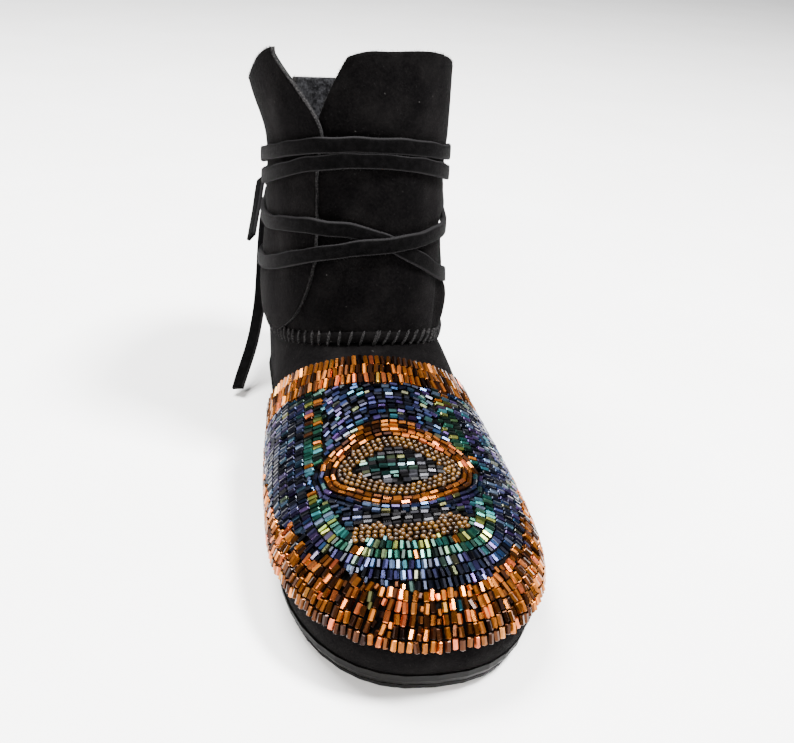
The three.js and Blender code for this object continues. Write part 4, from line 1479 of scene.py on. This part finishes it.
@dataclass
class Thong:
    """The thong's windings, knot and loose ends."""

    long_end: tuple[Colour, ...] = (
        (-27.8, 110.5, 84.3), (-29.8, 111.5, 72), (-30.9, 111.5, 58), (-31.6, 109.5, 45), (-32.6, 105, 35),
        (-34.4, 98.5, 26.5), (-37.8, 88, 17.5), (-43.4, 76, 7), (-45.3, 71, 4),
    )
    short_end: tuple[Colour, ...] = (
        (-32.6, 105.8, 90.3), (-33.9, 101, 87), (-35.8, 92, 81.5), (-39.3, 76.3, 73.4),
    )
    long_facing: Vector = field(default_factory=lambda: Vector((-0.5, -0.75, 0.4)))
    short_facing: Vector = field(default_factory=lambda: Vector((-0.85, -0.5, 0.2)))
    knot_bands: tuple[tuple[str, float, float, float], ...] = (
        ("knot_under", 34, 3.5, 1.2),
        ("knot_over", -46, 3.3, 1.9),
        ("knot_tail", -6, 4.9, 0.3),
    )
    knot_steps: int = 24
    knot_azimuth: float = -142.0
    knot_share: float = 0.5
    columns: int = 620
    shape: tuple[tuple[float, float, float], ...] = (
        (-1.0, 0.18, 1.0), (-0.9, 0.0, 0.85), (-0.3, 0.0, 0.1), (0.3, 0.0, 0.1), (0.9, 0.0, 0.85),
        (1.0, 0.18, 1.0), (1.0, 0.82, 1.0), (0.88, 1.0, 0.8), (0.3, 1.04, 0.0), (-0.3, 1.04, 0.0),
        (-0.88, 1.0, 0.8), (-1.0, 0.82, 1.0),
    )

    def strip(self, name: str, frames: Sequence[tuple[Vector, Vector, Vector]]) -> bpy.types.Object:
        """A flat strip through frames.

        Args:
            name: the piece's name.
            frames: point under the strip, outward normal and width direction of each section.

        Returns:
            The strip.
        """
        columns, rows = len(frames) - 1, len(self.shape)
        bm = bmesh.new()
        bmesh.ops.create_grid(bm, x_segments=columns, y_segments=rows, size=0.5)
        rim = bm.verts.layers.float.new("rim")
        for vertex in bm.verts:
            point, normal, across = frames[round((vertex.co.x + 0.5) * columns)]
            side, level, edge = self.shape[round((vertex.co.y + 0.5) * rows) % rows]
            wide = across * (side * THONG_WIDTH / 2)
            vertex.co = place(point + wide + normal * (level * THONG_THICKNESS))
            vertex[rim] = edge
        bmesh.ops.remove_doubles(bm, verts=bm.verts, dist=0.000004)
        ends = [edge for edge in bm.edges if edge.is_boundary]
        bmesh.ops.holes_fill(bm, edges=ends, sides=0)
        bmesh.ops.recalc_face_normals(bm, faces=bm.faces)
        return as_object(name, bm, THONG_LEATHER)

    def winding_frames(self) -> list[tuple[Vector, Vector, Vector]]:
        """Frames of the winding from the knot through four turns back to the knot."""

        def route(azimuth: float) -> Vector:
            """Point under the thong at an azimuth that counts on through the turns."""
            share = THONG_ROUTE.at("share", azimuth)
            lift = thong_lift(azimuth, THONG_ROUTE.at("layer", azimuth))
            return LAST.shaft_point(azimuth, share, lift)

        frames = []
        for i in range(self.columns):
            azimuth = lerp(THONG_ROUTE.keys[0], THONG_ROUTE.keys[-1], i / (self.columns - 1))
            normal = LAST.shaft_normal(azimuth, THONG_ROUTE.at("share", azimuth))
            along = (route(azimuth + 1.5) - route(azimuth - 1.5)).normalized()
            normal = (normal - along * normal.dot(along)).normalized()
            across = normal.cross(along)
            wobble = 0.05 * math.sin(azimuth * 0.29) + 0.06 * math.sin(azimuth * 0.11)
            twist = math.radians(6 * math.sin(azimuth * 0.045))
            point = route(azimuth) + across * wobble * 2 - normal * 0.3
            normal = (normal + across * math.sin(twist)).normalized()
            frames.append((point, normal, across * (1 + wobble * 0.5)))
        return frames

    def end_frames(
        self, points: Sequence[Colour], facing: Vector, count: int = 40
    ) -> tuple[list[tuple[Vector, Vector, Vector]], list[Vector]]:
        """Frames along a loose end, and its centreline in metres."""
        chart = [Vector(point) for point in points]
        chart = [2 * chart[0] - chart[1], *chart, 2 * chart[-1] - chart[-2]]
        line = []
        for i in range(1, len(chart) - 2):
            p0, p1, p2, p3 = chart[i - 1 : i + 3]
            for k in range(count // (len(points) - 1)):
                line.append(spline(p0, p1, p2, p3, k / (count // (len(points) - 1))))
        line.append(chart[-2])
        frames = []
        for i, point in enumerate(line):
            along = (line[min(i + 1, len(line) - 1)] - line[max(i - 1, 0)]).normalized()
            normal = (facing - along * facing.dot(along)).normalized()
            frames.append((point - normal * THONG_THICKNESS / 2, normal, normal.cross(along)))
        return frames, [place(point) for point in line]

    def loose(self, name: str, node: str, points: Sequence[Colour], facing: Vector) -> None:
        """Make one loose end and log its length."""
        frames, line = self.end_frames(points, facing)
        piece = self.strip(name, frames)
        length = sum((b - a).length for a, b in zip(line, line[1:]))
        stand_in(node)
        LOG.info("%s: %.1f mm long", name, length / MM)

    def knot(self) -> None:
        """The tied knot: two bands of the thong that cross."""
        low, high = (Vector(corner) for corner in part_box("thong_knot"))
        centre = ((low + high) / 2 - ORIGIN) / MM
        outward = LAST.shaft_normal(self.knot_azimuth, self.knot_share)
        sideways = Vector((0, 0, 1)).cross(outward).normalized()
        upward = outward.cross(sideways)
        for name, tilt, reach, rise in self.knot_bands:
            lean = math.radians(tilt)
            along = upward * math.cos(lean) + sideways * math.sin(lean)
            frames = []
            for i in range(self.knot_steps + 1):
                turn = math.radians(lerp(-110, 110, i / self.knot_steps))
                spot = centre + along * (reach * math.sin(turn)) + outward * (rise * math.cos(turn))
                normal = (along * (math.sin(turn) * rise) + outward * (math.cos(turn) * reach)).normalized()
                frames.append((spot, normal, along.cross(outward) * 0.95))
            piece = self.strip(name, frames)
            stand_in("thong_knot")

    def build(self) -> None:
        """Make all the thong's pieces."""
        winding = self.strip("thong_turns", self.winding_frames())
        stand_in("thong_windings")
        self.knot()
        self.loose("loose_end_long", "thong_end_long", self.long_end, self.long_facing)
        self.loose("loose_end_short", "thong_end_short", self.short_end, self.short_facing)


# Fuzz


@dataclass
class Fuzz:
    """Loose fibres that stand off the suede, its cut edges and the thong."""

    upper: Upper
    thong: Thong
    thickness: float = 0.07
    edge_count: int = 620
    collar_count: int = 900
    shaft_count: int = 2600
    foot_count: int = 1400
    thong_count: int = 2400
    rng: random.Random = field(default_factory=lambda: random.Random(23))
    moves: list[Matrix] = field(default_factory=list)

    def fibre(self, root: Vector, heading: Vector, length: float) -> None:
        """Stand one fibre on a point."""
        sway = Vector(self.rng.gauss(0, 0.45) for _ in range(3))
        turn = (heading.normalized() + sway).to_track_quat("Z", "Y").to_matrix().to_4x4()
        reach = length * self.rng.uniform(0.4, 1.3)
        size = Matrix.Diagonal((self.thickness, self.thickness, reach, 1))
        self.moves.append(Matrix.Translation(place(root)) @ Matrix.Scale(MM, 4) @ turn @ size)

    def along_edges(self) -> None:
        """Fibres on the flap's and the front panel's cut edges."""
        for _ in range(self.edge_count):
            v = self.rng.random()
            root = self.upper.flap_form(1.0, v)
            self.fibre(root, root - self.upper.flap_form(0.94, v), 1.1)
            root = self.upper.panel_form(0.0, 0.62 + 0.38 * v)
            self.fibre(root, root - self.upper.panel_form(0.03, 0.62 + 0.38 * v), 1.0)
        for _ in range(self.collar_count):
            u = self.rng.random()
            self.fibre(self.upper.panel_form(u, 1.0), Vector((0, 0, 1)), 0.9)
            self.fibre(self.upper.flap_form(u, 1.0), Vector((0, 0, 1)), 0.9)

    def over_suede(self) -> None:
        """Short nap over the shaft and the bare foot."""
        for _ in range(self.shaft_count):
            azimuth, share = self.rng.uniform(-180, 180), self.rng.uniform(0.02, 0.98)
            lift = self.upper.flap_lift(azimuth, share) if FLAP_ROOT < azimuth < FLAP_FRONT else 0.0
            root = LAST.shaft_point(azimuth, share, lift + soft_shaft(azimuth, share))
            self.fibre(root, LAST.shaft_normal(azimuth, share), 0.55)
        for _ in range(self.foot_count):
            around, rise = self.rng.uniform(-1, 1), self.rng.uniform(0.02, 0.3)
            root = LAST.foot_skin(around, rise)
            self.fibre(root, root - LAST.ridge(toe_distance(root)), 0.6)

    def on_thong(self) -> None:
        """Fibres on the thong's cut edges."""
        frames = self.thong.winding_frames()
        for _ in range(self.thong_count):
            point, normal, across = self.rng.choice(frames)
            side = self.rng.choice((-1, 1))
            root = point + across * (side * THONG_WIDTH / 2) + normal * THONG_THICKNESS * self.rng.random()
            self.fibre(root, across * side + normal * 0.4, 0.75)

    def build(self) -> None:
        """Make all fibres as one joined mesh."""
        self.along_edges()
        self.over_suede()
        self.on_thong()
        template = bmesh.new()
        bmesh.ops.create_cone(template, cap_ends=False, segments=3, radius1=0.5, radius2=0.12, depth=1)
        bmesh.ops.translate(template, vec=(0, 0, 0.5), verts=template.verts)
        mesh = bpy.data.meshes.new("fibre")
        template.to_mesh(mesh)
        template.free()
        bm = bmesh.new()
        stamp(bm, mesh, self.moves)
        fibres = as_object("suede_fibres", bm, RAW_EDGE)


# Sole


@dataclass
class Sole:
    """The rubber layers and the insole, kept from the frame with their own finishes."""

    finishes: tuple[tuple[str, object], ...] = (
        ("midsole", MIDSOLE_RUBBER),
        ("outsole", TREAD_RUBBER_AND_HOLE_SHADE),
        ("insole", FLEECE),
    )

    def build(self) -> None:
        """Dress the layers."""
        for node, finish in self.finishes:
            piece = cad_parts[node]
            piece.data.materials.clear()
            piece.data.materials.append(material_of(finish))
            LOG.info("%s: dressed", node)


# Studio


@dataclass
class Studio:
    """Floor, soft light and the photo's camera."""

    camera_at: Vector = field(default_factory=lambda: Vector((-74.8, -359.8, 226)))
    yaw: float = 3.6
    pitch: float = 25.0
    aim: Vector = field(default_factory=lambda: Vector((7, -15, 53)))
    lens: float = 48.5

    def camera(self) -> None:
        """The camera where the photo's stood, turned to the boot."""
        data = bpy.data.cameras.new("camera")
        data.lens = self.lens
        made = bpy.data.objects.new("camera", data)
        bpy.context.scene.collection.objects.link(made)
        yaw, pitch = math.radians(self.yaw), math.radians(self.pitch)
        forward = Vector((math.sin(yaw) * math.cos(pitch), math.cos(yaw) * math.cos(pitch), -math.sin(pitch)))
        turn = forward.rotation_difference((self.aim - self.camera_at).normalized())
        made.rotation_mode = "QUATERNION"
        made.rotation_quaternion = turn @ forward.to_track_quat("-Z", "Y")
        made.location = place(self.camera_at)
        data.clip_start = 0.01
        bpy.context.scene.camera = made

    def light(self, name: str, where: Colour, size: float, power: float, colour: Colour = (1, 1, 1)) -> None:
        """One area light aimed at the boot."""
        data = bpy.data.lights.new(name, "AREA")
        data.size = size
        data.energy = power
        data.color = colour
        made = bpy.data.objects.new(name, data)
        bpy.context.scene.collection.objects.link(made)
        made.location = where
        made.rotation_mode = "QUATERNION"
        made.rotation_quaternion = (Vector((0, 0, 0.06)) - Vector(where)).to_track_quat("-Z", "Y")

    def floor(self) -> None:
        """A pale floor."""
        bm = bmesh.new()
        bmesh.ops.create_grid(bm, x_segments=1, y_segments=1, size=4)
        mesh = bpy.data.meshes.new("floor")
        bm.to_mesh(mesh)
        bm.free()
        s = Shader("pale_floor", Roughness=0.9, Specular_IOR_Level=0.1)
        s.out("Base Color", s.mix(s.noise(9, 4).step(0.3, 0.8), (0.88, 0.872, 0.86), (0.92, 0.915, 0.91)))
        mesh.materials.append(s.material)
        made = bpy.data.objects.new("floor", mesh)
        bpy.context.scene.collection.objects.link(made)

    def build(self) -> None:
        """Set up the studio."""
        self.camera()
        self.floor()
        world = bpy.data.worlds.new("studio")
        world.use_nodes = True
        world.node_tree.nodes["Background"].inputs[0].default_value = (0.93, 0.95, 1.0, 1)
        world.node_tree.nodes["Background"].inputs[1].default_value = 0.36
        bpy.context.scene.world = world
        self.light("window", (0.5, -0.3, 1.2), 0.3, 80)
        self.light("top", (-0.35, 0.35, 1.35), 0.7, 80)
        self.light("front", (-0.6, -1.1, 0.9), 0.2, 26, (1, 0.97, 0.93))


def main() -> None:
    """Build the boot and its studio."""
    logging.basicConfig(level=logging.INFO)
    Studio().build()
    thong, upper = Thong(), Upper()
    thong.build()
    Sole().build()
    upper.build()
    AnkleSeam().build()
    Fuzz(upper, thong).build()
    Beadwork().build()


if __name__ == "__main__":
    main()
